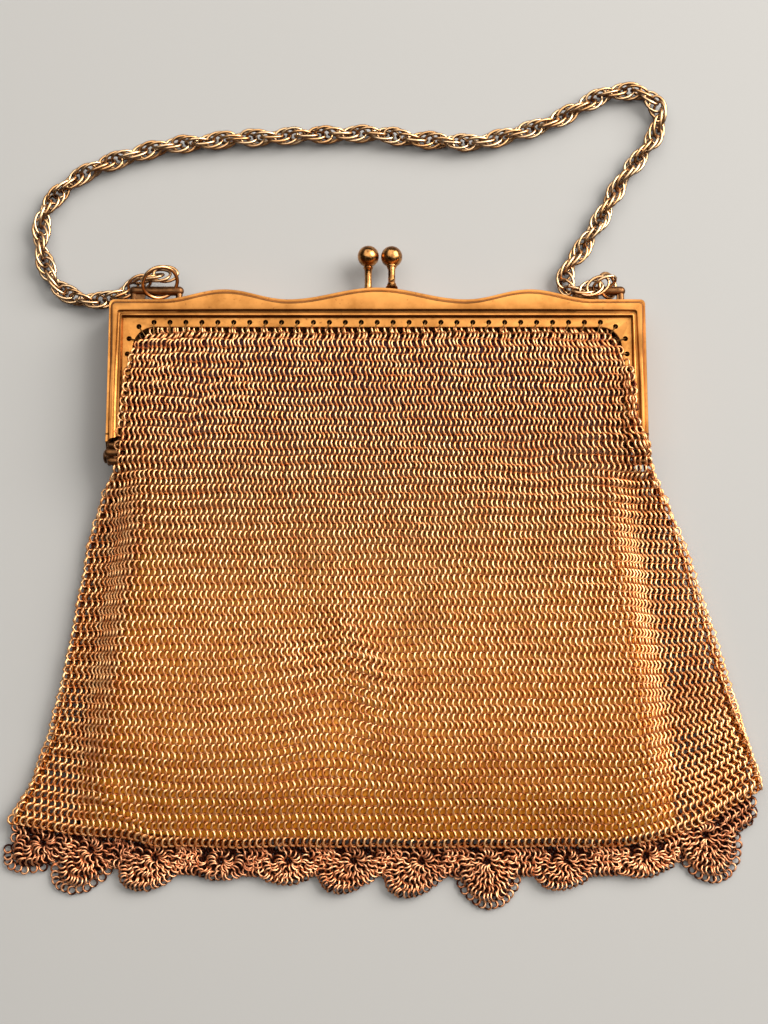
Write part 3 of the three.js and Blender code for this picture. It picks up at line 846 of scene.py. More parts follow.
@dataclass
class RingField:
    """Rings of one size to be set in place: their middles, axes and tones."""

    half_width: float
    half_length: float
    wire: float
    bends: int
    sides: int
    places: list[np.ndarray] = field(default_factory=list)
    axes: list[np.ndarray] = field(default_factory=list)

    def add(self, places: np.ndarray, across: np.ndarray, along: np.ndarray) -> None:
        """Add rings by their middles and the two axes of their planes.

        Args:
            places: Middles, one a row.
            across: The way of each ring's width.
            along: The way of each ring's length, made square to its width.
        """
        across = unit(np.asarray(across, float))
        normal = unit(np.cross(across, along))
        self.places.append(np.asarray(places, float))
        self.axes.append(np.stack([across, np.cross(normal, across), normal], axis=1))

    def piece(self, name: str, tool: WireRings, finish: Finish) -> bpy.types.Object:
        """Set every ring and make them one plain mesh.

        Args:
            name: The piece's name.
            tool: The tree that sets the rings.
            finish: The wire's material.

        Returns:
            The piece.
        """
        places, axes = np.concatenate(self.places), np.concatenate(self.axes)
        tones = np.random.default_rng(SEED).uniform(0, 1, len(places))
        piece = marks(name, places, quaternions(axes[:, 0], axes[:, 1], axes[:, 2]), tones)
        tool.run(
            piece,
            Half_Width=self.half_width * MM,
            Half_Length=self.half_length * MM,
            Wire_Radius=self.wire * MM,
            Bends=self.bends,
            Sides=self.sides,
            Finish=finish.material(),
        )
        spent = piece.data.attributes.get("turn")
        if spent is not None:
            piece.data.attributes.remove(spent)
        return piece


def shade_wire_sides(piece: bpy.types.Object) -> None:
    """Mark how far each point of a wire faces up, so that its sides and underside take a dark painted shade and its top
    stays bright.
    """
    mesh = piece.data
    level, gain = 0.15, 0.75
    normals = np.zeros(3 * len(mesh.vertices))
    mesh.vertices.foreach_get("normal", normals)
    mesh.attributes["rise"].data.foreach_set("value", level + gain * normals[2::3])


# ---------------------------------------------------------------- the bag's form


@dataclass(frozen=True)
class BagForm:
    """The outer face of the mesh bag, as rows down its length and soft folds on its front."""

    # y, left edge, left fold, right fold, right edge, height between the folds, height at the edges
    rows: tuple[tuple[float, ...], ...] = (
        (33.2, -62.4, -63.0, 63.0, 62.4, 11.9, 11.9),
        (27.0, -64.6, -63.0, 63.0, 64.6, 11.9, 11.9),
        (18.0, -66.2, -63.0, 63.0, 66.2, 11.9, 11.9),
        (2.0, -66.2, -63.5, 63.5, 66.2, 11.9, 11.9),
        (-3.2, -66.2, -65.0, 65.0, 66.2, 11.9, 10.5),
        (-4.6, -67.7, -65.9, 66.0, 70.8, 11.9, 9.6),
        (-6.5, -69.8, -67.2, 67.3, 72.6, 11.9, 8.4),
        (-12.0, -72.0, -68.4, 68.0, 75.7, 11.9, 6.2),
        (-22.0, -75.2, -69.7, 68.9, 79.8, 12.0, 4.4),
        (-40.0, -77.9, -72.2, 71.6, 85.3, 12.0, 4.2),
        (-57.0, -80.5, -74.1, 73.9, 89.6, 11.6, 4.2),
        (-75.0, -84.0, -76.1, 76.2, 92.9, 10.4, 4.2),
        (-87.0, -87.6, -77.6, 77.3, 95.6, 8.2, 4.2),
        (-95.0, -91.2, -78.6, 77.8, 97.2, 5.6, 4.2),
        (-99.4, -93.4, -79.5, 78.0, 98.0, 4.4, 4.2),
    )
    # x, y, turn in degrees, half length, half width, lift
    folds: tuple[tuple[float, ...], ...] = (
        (-4.0, -53.0, -64.0, 19.0, 7.0, 1.1),
        (-17.0, -46.0, -70.0, 14.0, 6.0, -0.7),
        (-50.0, 18.0, 70.0, 9.0, 6.0, 0.5),
        (-38.0, 11.0, 60.0, 13.0, 4.0, -0.7),
        (46.0, -2.0, -58.0, 14.0, 4.5, -0.7),
        (-62.0, -84.0, -57.0, 11.0, 3.5, -0.7),
    )
    fold_run: float = 10.0
    hem_rise_from: float = -40.0
    # side, rise, start and run of each end of the hem that turns up, and the power that it grows by
    hem_ends: tuple[tuple[int, float, float, float, float], ...] = (
        (-1, 5.7, 40.0, 53.4, 1.5),
        (1, 14.3, 55.0, 42.0, 2.0),
    )

    def row(self, y: float) -> np.ndarray:
        """Give the row's measures after y: left, left fold, right fold, right, height, edge height."""
        table = np.array(self.rows)[::-1]
        return np.array([np.interp(y, table[:, 0], table[:, k]) for k in range(1, 7)])

    def hem_rise(self, x: np.ndarray) -> np.ndarray:
        """Give how far the hem rises towards its two ends."""
        left, right = (
            rise * np.clip((side * x - start) / run, 0, None) ** power
            for side, rise, start, run, power in self.hem_ends
        )
        return left + right

    def hem(self, x: np.ndarray) -> np.ndarray:
        """Give the hem's height on the drawing."""
        return HEM_Y + self.hem_rise(x)

    def risen(self, y: float, x: np.ndarray) -> np.ndarray:
        """Bend a straight row up with the hem."""
        return y + self.hem_rise(x) * ease((self.hem_rise_from - y) / (self.hem_rise_from - HEM_Y))

    def relief(self, x: np.ndarray, y: np.ndarray) -> np.ndarray:
        """Give the lift of the soft folds."""
        lift = np.zeros(np.broadcast(x, y).shape)
        for fold_x, fold_y, turn, along, across, rise in self.folds:
            c, s = math.cos(math.radians(turn)), math.sin(math.radians(turn))
            u, v = (x - fold_x) * c + (y - fold_y) * s, (y - fold_y) * c - (x - fold_x) * s
            lift += rise * np.exp(-((u / along) ** 2) - (v / across) ** 2)
        return lift

    def cover(self, y: float, x: np.ndarray) -> np.ndarray:
        """Give the height of the front over the floor on a row."""
        _, left_fold, right_fold, _, height, shelf = self.row(y)
        share = ease((x - left_fold) / self.fold_run) * ease((right_fold - x) / self.fold_run)
        return shelf + (height - shelf) * share + self.relief(x, self.risen(y, x)) * share


# ---------------------------------------------------------------- sub-assemblies


@dataclass
class PurseFrame:
    """Both stamped halves of the frame: wavy top, moulded border and pierced sewing flange."""

    half_width: float = 70.0
    half_depth: float = 6.0
    top: float = 41.0
    leg_end: float = 3.0
    leg_mitre: float = 1.4
    border: float = 3.5
    step_y: float = 36.4
    flange: float = 2.8
    corner: tuple[float, float, float] = (1.3, 0.35, 5.5)
    leg_steps: int = 10
    corner_steps: int = 9
    top_steps: int = 132
    humps: tuple[tuple[float, float, float], ...] = ((-40.0, 16.7, 2.7), (0.0, 23.3, 3.2), (40.0, 16.7, 2.7))
    hole: float = 1.4
    hole_pitch: float = 4.16
    hole_from_step: float = 1.5
    hole_corner: float = 6.5
    hole_above_leg_end: float = 5.0
    hole_depth: float = 2.0
    hole_sides: int = 14
    flange_z: float = 3.55
    sharp: float = 33.0
    # run over which the darkening sets in; then how much painted shade there is, or how much lighter the legs' grooves
    # are drawn, and the x or y that it starts at
    blend_run: float = 5.0
    mesh_shade: tuple[float, float] = (0.85, 22.0)
    left_slope_shade: tuple[float, float] = (0.5, -62.0)
    legs_lighter: tuple[float, float] = (0.55, 60.0)
    # line of the moulding, and ways inwards between which it is outer slope
    slopes: tuple[tuple[int, float, float], ...] = ((0, 0.7, 1.75), (1, -0.7, 0.3))
    # line that the point is measured from (0 outer, 1 step, 2 flange), way inwards, height off the middle plane,
    # and how dark the point is drawn: patina in the grooves, and painted shade where the moulding faces away from the
    # light
    moulding: tuple[tuple[int, float, float, float], ...] = (
        (0, 0.0, 0.15, 0.3),
        (0, 0.0, 4.2, 0.1),
        (0, 0.05, 4.56, 0.0),
        (0, 0.14, 4.68, 0.0),
        (0, 0.64, 4.61, 0.0),
        (0, 0.72, 4.58, 0.25),
        (0, 0.82, 4.68, 0.25),
        (0, 0.98, 5.05, 0.1),
        (0, 1.18, 5.46, 0.08),
        (0, 1.42, 5.8, 0.04),
        (0, 1.72, 6.0, 0.0),
        (1, -2.3, 5.98, 0.22),
        (1, -1.6, 5.9, 0.35),
        (1, -1.42, 5.74, 0.6),
        (1, -1.3, 5.5, 0.72),
        (1, -1.15, 5.36, 0.66),
        (1, -0.75, 5.28, 0.56),
        (1, -0.6, 5.36, 0.45),
        (1, -0.48, 5.5, 0.0),
        (1, -0.3, 5.54, 0.0),
        (1, -0.08, 5.5, 0.0),
        (1, 0.02, 5.2, 0.4),
        (1, 0.08, 4.7, 0.6),
        (1, 0.16, 4.2, 0.75),
        (1, 0.34, 4.02, 0.6),
        (1, 0.5, 4.0, 0.1),
        (2, -0.2, 4.0, 0.0),
        (2, -0.06, 3.94, 0.0),
        (2, 0.0, 3.8, 0.1),
        (2, 0.0, 3.1, 0.3),
        (1, -0.4, 3.1, 0.5),
        (1, -1.0, 4.2, 0.6),
        (0, 1.4, 4.2, 0.6),
        (0, 0.9, 3.6, 0.6),
        (0, 0.9, 0.15, 0.5),
    )

    def top_edge(self, x: float) -> float:
        """Give the wavy top edge's height."""
        y = self.top
        for middle, run, rise in self.humps:
            t = abs(x - middle) / run
            if t < 1:
                y += rise / 2 * (1 + math.cos(math.pi * t))
        return y

    def stations(self) -> np.ndarray:
        """Give points on the outer, step and flange lines, from the right leg's end round to the left one's."""
        reach = np.array(
            [
                (self.half_width, self.top),
                (self.half_width - self.border, self.step_y),
                (self.half_width - self.border - self.flange, self.step_y - self.flange),
            ]
        )
        mitre = np.array([0.0, self.leg_mitre, self.leg_mitre])
        radius = np.array(self.corner)
        low, high = self.leg_end + mitre, reach[:, 1] - radius
        shares = np.linspace(0, 1, self.leg_steps + 1)[:-1]
        right = [np.stack([reach[:, 0], low + share * (high - low)], axis=1) for share in shares]
        for angle in np.linspace(0, math.pi / 2, self.corner_steps + 1):
            bend = np.array([math.cos(angle), math.sin(angle)])
            right.append(reach - radius[:, None] + radius[:, None] * bend)
        top = []
        for share in np.linspace(1, -1, self.top_steps + 1)[1:-1]:
            x = share * (reach[:, 0] - radius)
            top.append(np.stack([x, [self.top_edge(x[0]), reach[1, 1], reach[2, 1]]], axis=1))
        left = [one * np.array([-1.0, 1.0]) for one in right[::-1]]
        return np.array([*right, *top, *left])

    def holes(self) -> np.ndarray:
        """Give the sewing holes from the middle of the top outwards, round the corners and down the legs."""
        leg_x = self.half_width - self.border - self.hole_from_step
        top_y = self.step_y - self.hole_from_step
        straight, quarter = leg_x - self.hole_corner, self.hole_corner * math.pi / 2
        leg_top = top_y - self.hole_corner
        total = straight + quarter + leg_top - (self.leg_end + self.hole_above_leg_end)
        found = [(0.0, top_y)]
        for run in np.arange(self.hole_pitch, total, self.hole_pitch):
            angle = min(max((run - straight) / self.hole_corner, 0), math.pi / 2)
            x = min(run, straight) + self.hole_corner * math.sin(angle)
            y = leg_top + self.hole_corner * math.cos(angle) - max(0.0, run - straight - quarter)
            found += [(x, y), (-x, y)]
        return np.array(found)

    def tarnish(self, skin: np.ndarray) -> np.ndarray:
        """Give how dark the moulding is drawn at each point, from patina and painted shade.

        Args:
            skin: Points by station and place on the moulding.

        Returns:
            A share for each point.
        """
        x, y = skin[..., 0], skin[..., 1]
        groove = np.tile([row[3] for row in self.moulding], (len(skin), 1))
        # The flange is darkened with painted shade where the mesh lies over it, low on the legs.
        on_flange = np.array([line == 2 or (line == 1 and way >= 0) for line, way, _, _ in self.moulding])
        share, below = self.mesh_shade
        mesh_shade = share * ease((below - y) / self.blend_run) * on_flange
        # The left leg's outer slope faces away from the light and is darkened with painted shade.
        on_slope = np.array(
            [any(line == at and low < way < high for at, low, high in self.slopes) for line, way, _, _ in self.moulding]
        )
        share, left_of = self.left_slope_shade
        left_slope_shade = share * ease((left_of - x) / self.blend_run) * on_slope
        # The grooves on both legs are drawn lighter, from 60 mm out from the middle.
        share, beyond = self.legs_lighter
        legs_lighter = 1 - share * ease((np.abs(x) - beyond) / self.blend_run)
        return np.maximum(groove * legs_lighter, np.maximum(mesh_shade, left_slope_shade))

    def build(self, facing: Facing, drill: PiercedSheet) -> bpy.types.Object:
        """Loft one half and pierce its flange.

        Args:
            facing: Which half it is.
            drill: The tree that pierces the flange.

        Returns:
            The half.
        """
        stations = self.stations()
        inwards = unit(stations[:, 1] - stations[:, 0])
        rings = []
        for line, way, height, _ in self.moulding:
            flat = stations[:, line] + inwards * way
            rings.append(np.column_stack([flat, np.full(len(flat), self.half_depth + facing.value * height)]))
        skin = np.stack(rings, axis=1)
        groove = self.tarnish(skin)
        if facing is Facing.BACK:
            skin, groove = skin[::-1], groove[::-1]
        sketch = Sketch()
        sketch.loft(skin, groove)
        half = sketch.piece(f"frame_half_{facing.name.lower()}", GILT_SHEET)
        flange_z = self.half_depth + facing.value * self.flange_z
        spots = self.holes()
        points = marks("sewing_holes", np.column_stack([spots, np.full(len(spots), flange_z)]))
        drill.run(
            half,
            Holes=points,
            Hole_Radius=self.hole / 2 * MM,
            Hole_Depth=self.hole_depth * MM,
            Hole_Sides=self.hole_sides,
            Finish=GILT_SHEET.material(),
        )
        bpy.data.objects.remove(points)
        shade(half.data, self.sharp)
        return half

    def dress(self, drill: PiercedSheet) -> None:
        """Build both halves and settle them."""
        for facing in Facing:
            settle(self.build(facing, drill), GILT_SHEET, f"frame_{facing.name.lower()}")


@dataclass
class Hinge:
    """The two hinges at the leg ends: ears on both halves and a domed rivet through them."""

    half_width: float = 70.0
    middle: float = 6.0
    sheet: float = 0.9
    rim: float = 0.16
    gap: float = 0.3
    radius: float = 2.4
    leg_y: float = 5.2
    leg_height: float = 4.8
    shank: float = 0.8
    # radius, height and bevel of the rivet's flat head, and radius, foot and rise of its domed one
    flat_head: tuple[float, float, float] = (1.6, 0.9, 0.25)
    domed_head: tuple[float, float, float] = (1.8, 0.2, 0.7)
    knuckle_in: float = 2.8
    knuckle_z: float = 3.6
    # height, radius and outer end of each knuckle
    knuckles: tuple[tuple[float, float, float], ...] = ((2.3, 0.9, -1.2), (0.3, 1.15, -0.8), (-1.9, 0.95, -1.4))

    def ear(self, sketch: Sketch, side: int, outer: float, facing: Facing) -> None:
        """Draw an ear that drops from the leg to a round end about the hinge line.

        Args:
            sketch: Where it is drawn.
            side: 1 on the right, -1 on the left.
            outer: How far out its outer face stands.
            facing: The half that it belongs to.
        """
        turn = np.linspace(math.pi / 2, 3 * math.pi / 2, 15)
        round_end = [(self.radius * math.cos(a), self.radius * math.sin(a)) for a in turn]
        outline = np.array([(self.leg_y, self.gap), (self.leg_y, self.leg_height), *round_end, (self.radius, self.gap)])
        outline[:, 1] *= facing.value
        rim, sheet = self.rim, self.sheet
        middle = outline.mean(axis=0)
        rings = []
        for depth, inset in ((0.0, rim), (rim, 0.0), (sheet - rim, 0.0), (sheet, rim)):
            flat = outline + unit(middle - outline) * inset
            x = np.full(len(flat), side * (outer - depth))
            rings.append(np.column_stack([x, flat[:, 0], self.middle + flat[:, 1]]))
        skin = np.stack(rings)
        sketch.loft(skin[::-1] if side * facing.value > 0 else skin)

    def rivet(self, sketch: Sketch, side: int) -> None:
        """Draw a rivet with a flat head inside the ears and a domed one outside."""
        inner = self.half_width - 2 * self.sheet - 2 * self.gap
        outer = self.half_width + self.gap
        head, height, bevel = self.flat_head
        low = inner - height
        profile = [(0.0, low), (head - bevel, low), (head, low + bevel), (head, inner)]
        profile += [(self.shank, inner), (self.shank, outer)]
        dome, foot, rise = self.domed_head
        profile += [(dome, outer), (dome, outer + foot)]
        profile += [(dome * math.cos(a), outer + foot + rise * math.sin(a)) for a in np.linspace(0.3, math.pi / 2, 6)]
        sketch.turned(profile, np.array([0.0, 0.0, self.middle]), np.array([side, 0.0, 0.0]), 24)

    def dress(self) -> None:
        """Build and settle the ears and the rivets."""
        ears, inner = Sketch(), self.half_width - self.sheet - self.gap
        for side in (1, -1):
            self.ear(ears, side, self.half_width, Facing.FRONT)
            self.ear(ears, side, inner, Facing.BACK)
            for y, radius, end in self.knuckles:
                reach = np.linspace(self.half_width - self.knuckle_in, self.half_width + end, 5) * side
                ears.rod(np.column_stack([reach, np.full(5, y), np.full(5, self.middle + self.knuckle_z)]), radius, 12)
        settle(ears.piece("hinge_ears", DARK_BRASS), DARK_BRASS)
        for side, name in ((-1, "left"), (1, "right")):
            rivet = Sketch()
            self.rivet(rivet, side)
            settle(rivet.piece(f"hinge_rivet_turned_{name}", DARK_BRASS), DARK_BRASS, f"hinge_rivet_{name}")


@dataclass
class KissLock:
    """The clasp: two turned ball knobs that stand on the top edges and cross over the middle plane."""

    middle_x: float = 0.7
    spacing: float = 6.2
    lean: float = 2.0
    ball: float = 2.85
    centre: float = 9.6
    neck: float = 1.15
    lift: float = 0.6
    # radius and height of the turned steps under the ball
    foot: tuple[tuple[float, float], ...] = ((0.0, 0.0), (1.5, 0.0), (1.62, 0.18), (1.55, 0.45), (1.2, 0.62))
    waist: tuple[tuple[float, float], ...] = ((1.0, 0.8),)
    bead: tuple[tuple[float, float], ...] = ((1.12, 0.98), (1.22, 1.2), (1.12, 1.42), (0.98, 1.6))
    post: tuple[tuple[float, float], ...] = ((0.94, 2.6), (0.92, 4.2), (0.96, 5.6))
    collar: tuple[tuple[float, float], ...] = ((1.08, 6.2), (1.28, 6.4), (1.34, 6.62), (1.2, 6.84))

    def profile(self) -> list[tuple[float, float]]:
        """Give the knob's turned outline: a low foot, a bead, a slim post, a collar and the ball."""
        outline = [*self.foot, *self.waist, *self.bead, *self.post, *self.collar]
        start = math.pi - math.asin(self.neck / self.ball)
        for angle in np.linspace(start, 0, 22):
            outline.append((self.ball * math.sin(angle), self.centre + self.ball * math.cos(angle)))
        return outline

    def dress(self, purse_frame: PurseFrame) -> None:
        """Turn both knobs and settle them on the frame's top edges."""
        for facing in Facing:
            x = self.middle_x + facing.value * self.spacing / 2
            foot_z = purse_frame.half_depth + facing.value * self.lean
            foot = np.array([x, purse_frame.top_edge(x) + self.lift, foot_z])
            tilt = -facing.value * self.lean / self.centre
            knob = Sketch()
            knob.turned(self.profile(), foot, np.array([0.0, math.cos(tilt), math.sin(tilt)]), 40)
            name = facing.name.lower()
            settle(knob.piece(f"knob_{name}_turned", TURNED_BRASS), TURNED_BRASS, f"clasp_knob_{name}")


@dataclass
class MeshBag:
    """The bag: rows of linked rings round its girth, leaning by turns to the left and to the right."""

    form: BagForm
    columns: int = 224
    row_count: int = 69
    first_y: float = 32.93
    last_y: float = -98.3
    ring: float = 1.2
    wire: float = 0.31
    inset: float = 0.95
    back_rise: float = 1.5
    lean_pitch: float = 1.92
    slit_y: float = 2.2
    # y, and where the front's left and right edges lie on the frame
    lap: tuple[tuple[float, float, float], ...] = (
        (32.0, -59.4, 60.0),
        (28.3, -64.0, 63.2),
        (24.1, -65.2, 65.5),
        (20.3, -66.0, 66.0),
        (10.9, -66.8, 66.8),
        (6.2, -67.0, 67.8),
        (3.1, -67.1, 69.4),
        (-1.0, -67.4, 70.2),
        (-4.7, -68.4, 71.7),
        (-9.0, -70.8, 74.0),
    )
    # y between which the lap sets in, and how far from the middle it starts to draw the mesh outwards
    lap_span: tuple[float, float] = (-9.0, -4.7)
    lap_from: float = 40.0
    # x, run and height of the climb on to the right leg, and y that it runs in from and out to
    climb: tuple[float, float, float] = (63.0, 2.6, 13.0)
    climb_span: tuple[float, float, float, float] = (-3.0, 2.5, 22.0, 27.0)
    # x, y, turn in degrees, half length and half width of each soft crease, and how far rows slip along it
    creases: tuple[tuple[float, float, float, float, float, float], ...] = (
        (-2.0, -52.0, -54.0, 18.0, 9.0, 0.45),
        (-62.5, -93.0, -43.0, 13.0, 6.0, 0.8),
        (-46.0, 8.0, 62.0, 15.0, 8.0, 0.7),
        (44.0, -4.0, -58.0, 18.0, 9.0, -0.6),
    )
    # x, width to the left and to the right, and rise of the arch that the rows make over the bulge
    arch: tuple[float, float, float, float] = (-10.0, 16.0, 10.0, 3.2)
    # y that the arch runs from and to, and the run over which it sets in
    arch_span: tuple[float, float, float] = (-36.0, -99.0, 30.0)
    crease_bite: float = 2.5
    # points across a row's front and up each of its sides
    across_points: int = 500
    wall_points: int = 40
    # rows to each side that the evening of the columns reaches, and the width of its bell
    even_reach: int = 12
    even_width: float = 6.0
    # gathering under the sewing wires: its run down the bag, how far rings are drawn aside and how far they sink
    gather_run: float = 3.0
    gather_aside: float = 0.6
    gather_sink: float = 2.4
    # y, and the heights that part front from back when rows are slackened and when pieces are cut
    parting: tuple[tuple[float, float, float], ...] = ((HEM_Y, 2.4, 2.2), (-87.0, 3.4, 3.0), (0.0, 6.0, 6.0))
    # least and greatest cosine of a ring's lean
    lean_limits: tuple[float, float] = (0.6, 0.92)
    # upright mesh is left out beside the legs: how steep it is and how far out it lies; steep mesh of the side folds
    # goes with the front
    wall_steep: float = 0.3
    wall_x: float = 55.0
    fold_steep: float = 0.6
    sway: float = 0.22
    wave: float = 0.3
    # looseness of a ring's place, lean, tip and turn
    loose_place: tuple[float, float, float] = (0.035, 0.035, 0.03)
    loose_lean: float = 0.04
    loose_tip: float = 0.05
    loose_turn: float = 0.03

    def slip(self, x: np.ndarray, y: np.ndarray) -> np.ndarray:
        """Give how far rows are pushed up over the bulge, and up or down beside the soft creases.

        Args:
            x: Places across.
            y: Places down.

        Returns:
            The push; it is up on one side of a crease and down on the other.
        """
        peak, left, right, rise = self.arch
        top, foot, run = self.arch_span
        aside = (x - peak) / np.where(x < peak, left, right)
        push = rise * np.exp(-(aside**2)) * ease((top - y) / run) * ease((y - foot) / run)
        for middle_x, middle_y, turn, half_length, half_width, far in self.creases:
            way = np.array([math.cos(math.radians(turn)), math.sin(math.radians(turn))])
            along = ((x - middle_x) * way[0] + (y - middle_y) * way[1]) / half_length
            beside = ((x - middle_x) * -way[1] + (y - middle_y) * way[0]) / half_width
            push += far * np.tanh(-self.crease_bite * beside) * np.exp(-(beside**2) - along**4)
        return push

    def girth(self, y: float) -> np.ndarray:
        """Give one row's line of ring middles, from the middle of the back rightwards round to it again."""
        left, _, _, right, _, _ = self.form.row(y)
        inset, count = self.inset, self.across_points
        across = np.linspace(left + inset, right - inset, count)
        height = self.form.cover(y, across) - inset
        front = np.column_stack([across, height])
        back = np.column_stack([across, np.full(count, self.back_rise)])
        right_wall, left_wall = (np.linspace(back[k], front[k], self.wall_points)[1:-1] for k in (-1, 0))
        half = count // 2
        return np.concatenate([back[half:], right_wall, front[::-1], left_wall[::-1], back[:half]])

    def grid(self) -> np.ndarray:
        """Give every ring's middle by row and column, each second row half a place on."""
        grid = np.zeros((self.row_count, self.columns, 3))
        heights = np.linspace(self.first_y, self.last_y, self.row_count)
        lines = [self.girth(y) for y in heights]
        steps = [np.linalg.norm(np.diff(line, axis=0, append=line[:1]), axis=1) for line in lines]
        lengths = np.array([step.sum() for step in steps])
        middles = np.array([line[:, 0].min() + line[:, 0].max() for line in lines]) / 2
        # The front's columns run on evenly where the girth changes quickly, and the back takes up the rest.
        reach = self.even_reach
        bell = np.exp(-((np.arange(-reach, reach + 1) / self.even_width) ** 2))
        even, centred = (
            np.convolve(np.pad(values, reach, "edge"), bell / bell.sum(), "valid") for values in (lengths, middles)
        )
        for j, y in enumerate(heights):
            run = np.concatenate([[0.0], np.cumsum(steps[j])])
            loop = np.vstack([lines[j], lines[j][:1]])
            turn = (np.arange(self.columns) + 0.5 * (j % 2)) / self.columns
            slack = (even[j] - lengths[j]) * np.sin(2 * math.pi * turn) / (2 * math.pi)
            drift = (centred[j] - middles[j]) * np.sin(math.pi * turn) ** 2
            places = turn * run[-1] - slack - drift
            x, z = np.interp(places, run, loop[:, 0]), np.interp(places, run, loop[:, 1])
            grid[j] = np.column_stack([x, self.form.risen(y, x), z])
        return grid

    def gather(self, grid: np.ndarray, front: np.ndarray, hole_pitch: float) -> None:
        """Draw the first rows together under the sewing wires, and sink them below the flange.

        Args:
            grid: Ring middles, which are moved.
            front: Which rings lie on the front.
            hole_pitch: How far apart the sewing wires are.
        """
        x, y, z = grid[..., 0], grid[..., 1], grid[..., 2]
        near = np.exp(-np.clip(self.first_y - y, 0, None) / self.gather_run)
        x -= self.gather_aside * near * np.sin(2 * math.pi * x / hole_pitch)
        z -= np.where(front, self.gather_sink * near**1.7, 0.0)

    def lap_legs(self, grid: np.ndarray, front: np.ndarray) -> None:
        """Draw the front's edges over the legs, and lift the mesh on to the right one.

        Args:
            grid: Ring middles, which are moved.
            front: Which rings lie on the front.
        """
        x, y, z = grid[..., 0], grid[..., 1], grid[..., 2]
        table, rows = np.array(self.lap)[::-1], np.array(self.form.rows)[::-1]
        lapped = np.where(front, np.interp(y, self.lap_span, [0.0, 1.0]), 0.0)
        for side, lap_column, row_column in ((-1, 1, 1), (1, 2, 4)):
            edge = np.interp(y, rows[:, 0], rows[:, row_column])
            shift = np.interp(y, table[:, 0], table[:, lap_column]) - edge
            x += shift * lapped * ease((side * x - self.lap_from) / (side * edge - self.lap_from))
        leg_x, run, top = self.climb
        over = np.where(front, ease((x - leg_x) / run) * np.interp(y, self.climb_span, [0, 1, 1, 0]), 0.0)
        z += (top - z) * np.clip(over, 0, 1) * (z < top)

    def slackened(self, grid: np.ndarray, hole_pitch: float) -> np.ndarray:
        """Gather the first rows, lap the legs and loosen every row.

        Args:
            grid: Ring middles by row and column.
            hole_pitch: How far apart the sewing wires are.

        Returns:
            The moved middles.
        """
        grid = grid.copy()
        x, y, z = grid[..., 0], grid[..., 1], grid[..., 2]
        level = np.array(self.parting)
        front = z > np.interp(y, level[:, 0], level[:, 1])
        to_left = ease((-20.0 - x) / 30)
        self.gather(grid, front, hole_pitch)
        self.lap_legs(grid, front)
        # Slow waves keep the rows from being ruled lines; near the left of the mouth they are shorter.
        x += self.sway * np.sin(0.31 * x + 0.23 * y) * np.sin(0.17 * y + 1.0)
        y += np.where(front, self.slip(x, y), 0.0)
        y += self.wave * np.sin(0.19 * x + 0.11 * y + 0.6) * np.sin(0.09 * x - 0.2 * y)
        short = np.sin(0.55 * x + 0.4 * y) * np.sin(0.31 * x - 0.8 * y + 1.1)
        y += self.wave * ease((y - 2.0) / 14) * short * to_left
        rng = np.random.default_rng(SEED)
        loose = np.interp(y, [-25.0, 25.0], [1.0, 2.2])[..., None]
        grid += rng.normal(0, 1, grid.shape) * loose * np.array(self.loose_place)
        return grid

    def dress(self, purse_frame: PurseFrame, tool: WireRings) -> None:
        """Turn every ring on its place and settle the front in three pieces and the back in two.

        Args:
            purse_frame: The frame that the bag hangs from.
            tool: The tree that sets the rings.
        """
        plain = self.grid()
        grid = self.slackened(plain, purse_frame.hole_pitch)
        across = unit(np.roll(grid, -1, axis=1) - np.roll(grid, 1, axis=1))
        pitch = np.linalg.norm(np.roll(plain, -1, axis=1) - np.roll(plain, 1, axis=1), axis=2) / 2
        along = np.empty_like(grid)
        along[1:-1] = grid[2:] - grid[:-2]
        along[0], along[-1] = grid[2] - grid[0], grid[-1] - grid[-3]
        along = unit(along)
        normal = unit(np.cross(across, along))
        lean = np.arccos(np.clip(pitch / self.lean_pitch, *self.lean_limits))
        rng = np.random.default_rng(SEED + 1)
        lean += rng.normal(0, self.loose_lean, lean.shape)
        facing = np.where(np.arange(self.row_count) % 2 == 0, 1.0, -1.0)[:, None, None]
        width = facing * np.cos(lean)[..., None] * across + np.sin(lean)[..., None] * normal
        tip, turn = (rng.normal(0, loose, (*lean.shape, 1)) for loose in (self.loose_tip, self.loose_turn))
        length = along + tip * normal + turn * across
        x, y = grid[..., 0], grid[..., 1]
        level, facing_up = np.array(self.parting), np.abs(normal[..., 2])
        side_wall = (y > self.slit_y) & (facing_up < self.wall_steep) & (np.abs(x) > self.wall_x)
        middle = np.interp(plain[..., 1], level[:, 0], level[:, 2])
        is_front = (plain[..., 2] > middle) | ((facing_up < self.fold_steep) & (y < self.slit_y))
        rows = np.broadcast_to(np.arange(self.row_count)[:, None], x.shape)
        for name, mask, parts, bends, sides in (("front", is_front, 3, 8, 4), ("back", ~is_front, 2, 6, 3)):
            for part in range(parts):
                first, last = (round(self.row_count * k / parts) for k in (part, part + 1))
                picked = mask & ~side_wall & (rows >= first) & (rows < last)
                field_of = RingField(self.ring, self.ring, self.wire, bends, sides)
                field_of.add(grid[picked], width[picked], length[picked])
                piece = field_of.piece(f"mesh_{name}_{part + 1}", tool, RING_WIRE)
                settle(piece, RING_WIRE, "mesh_bag")


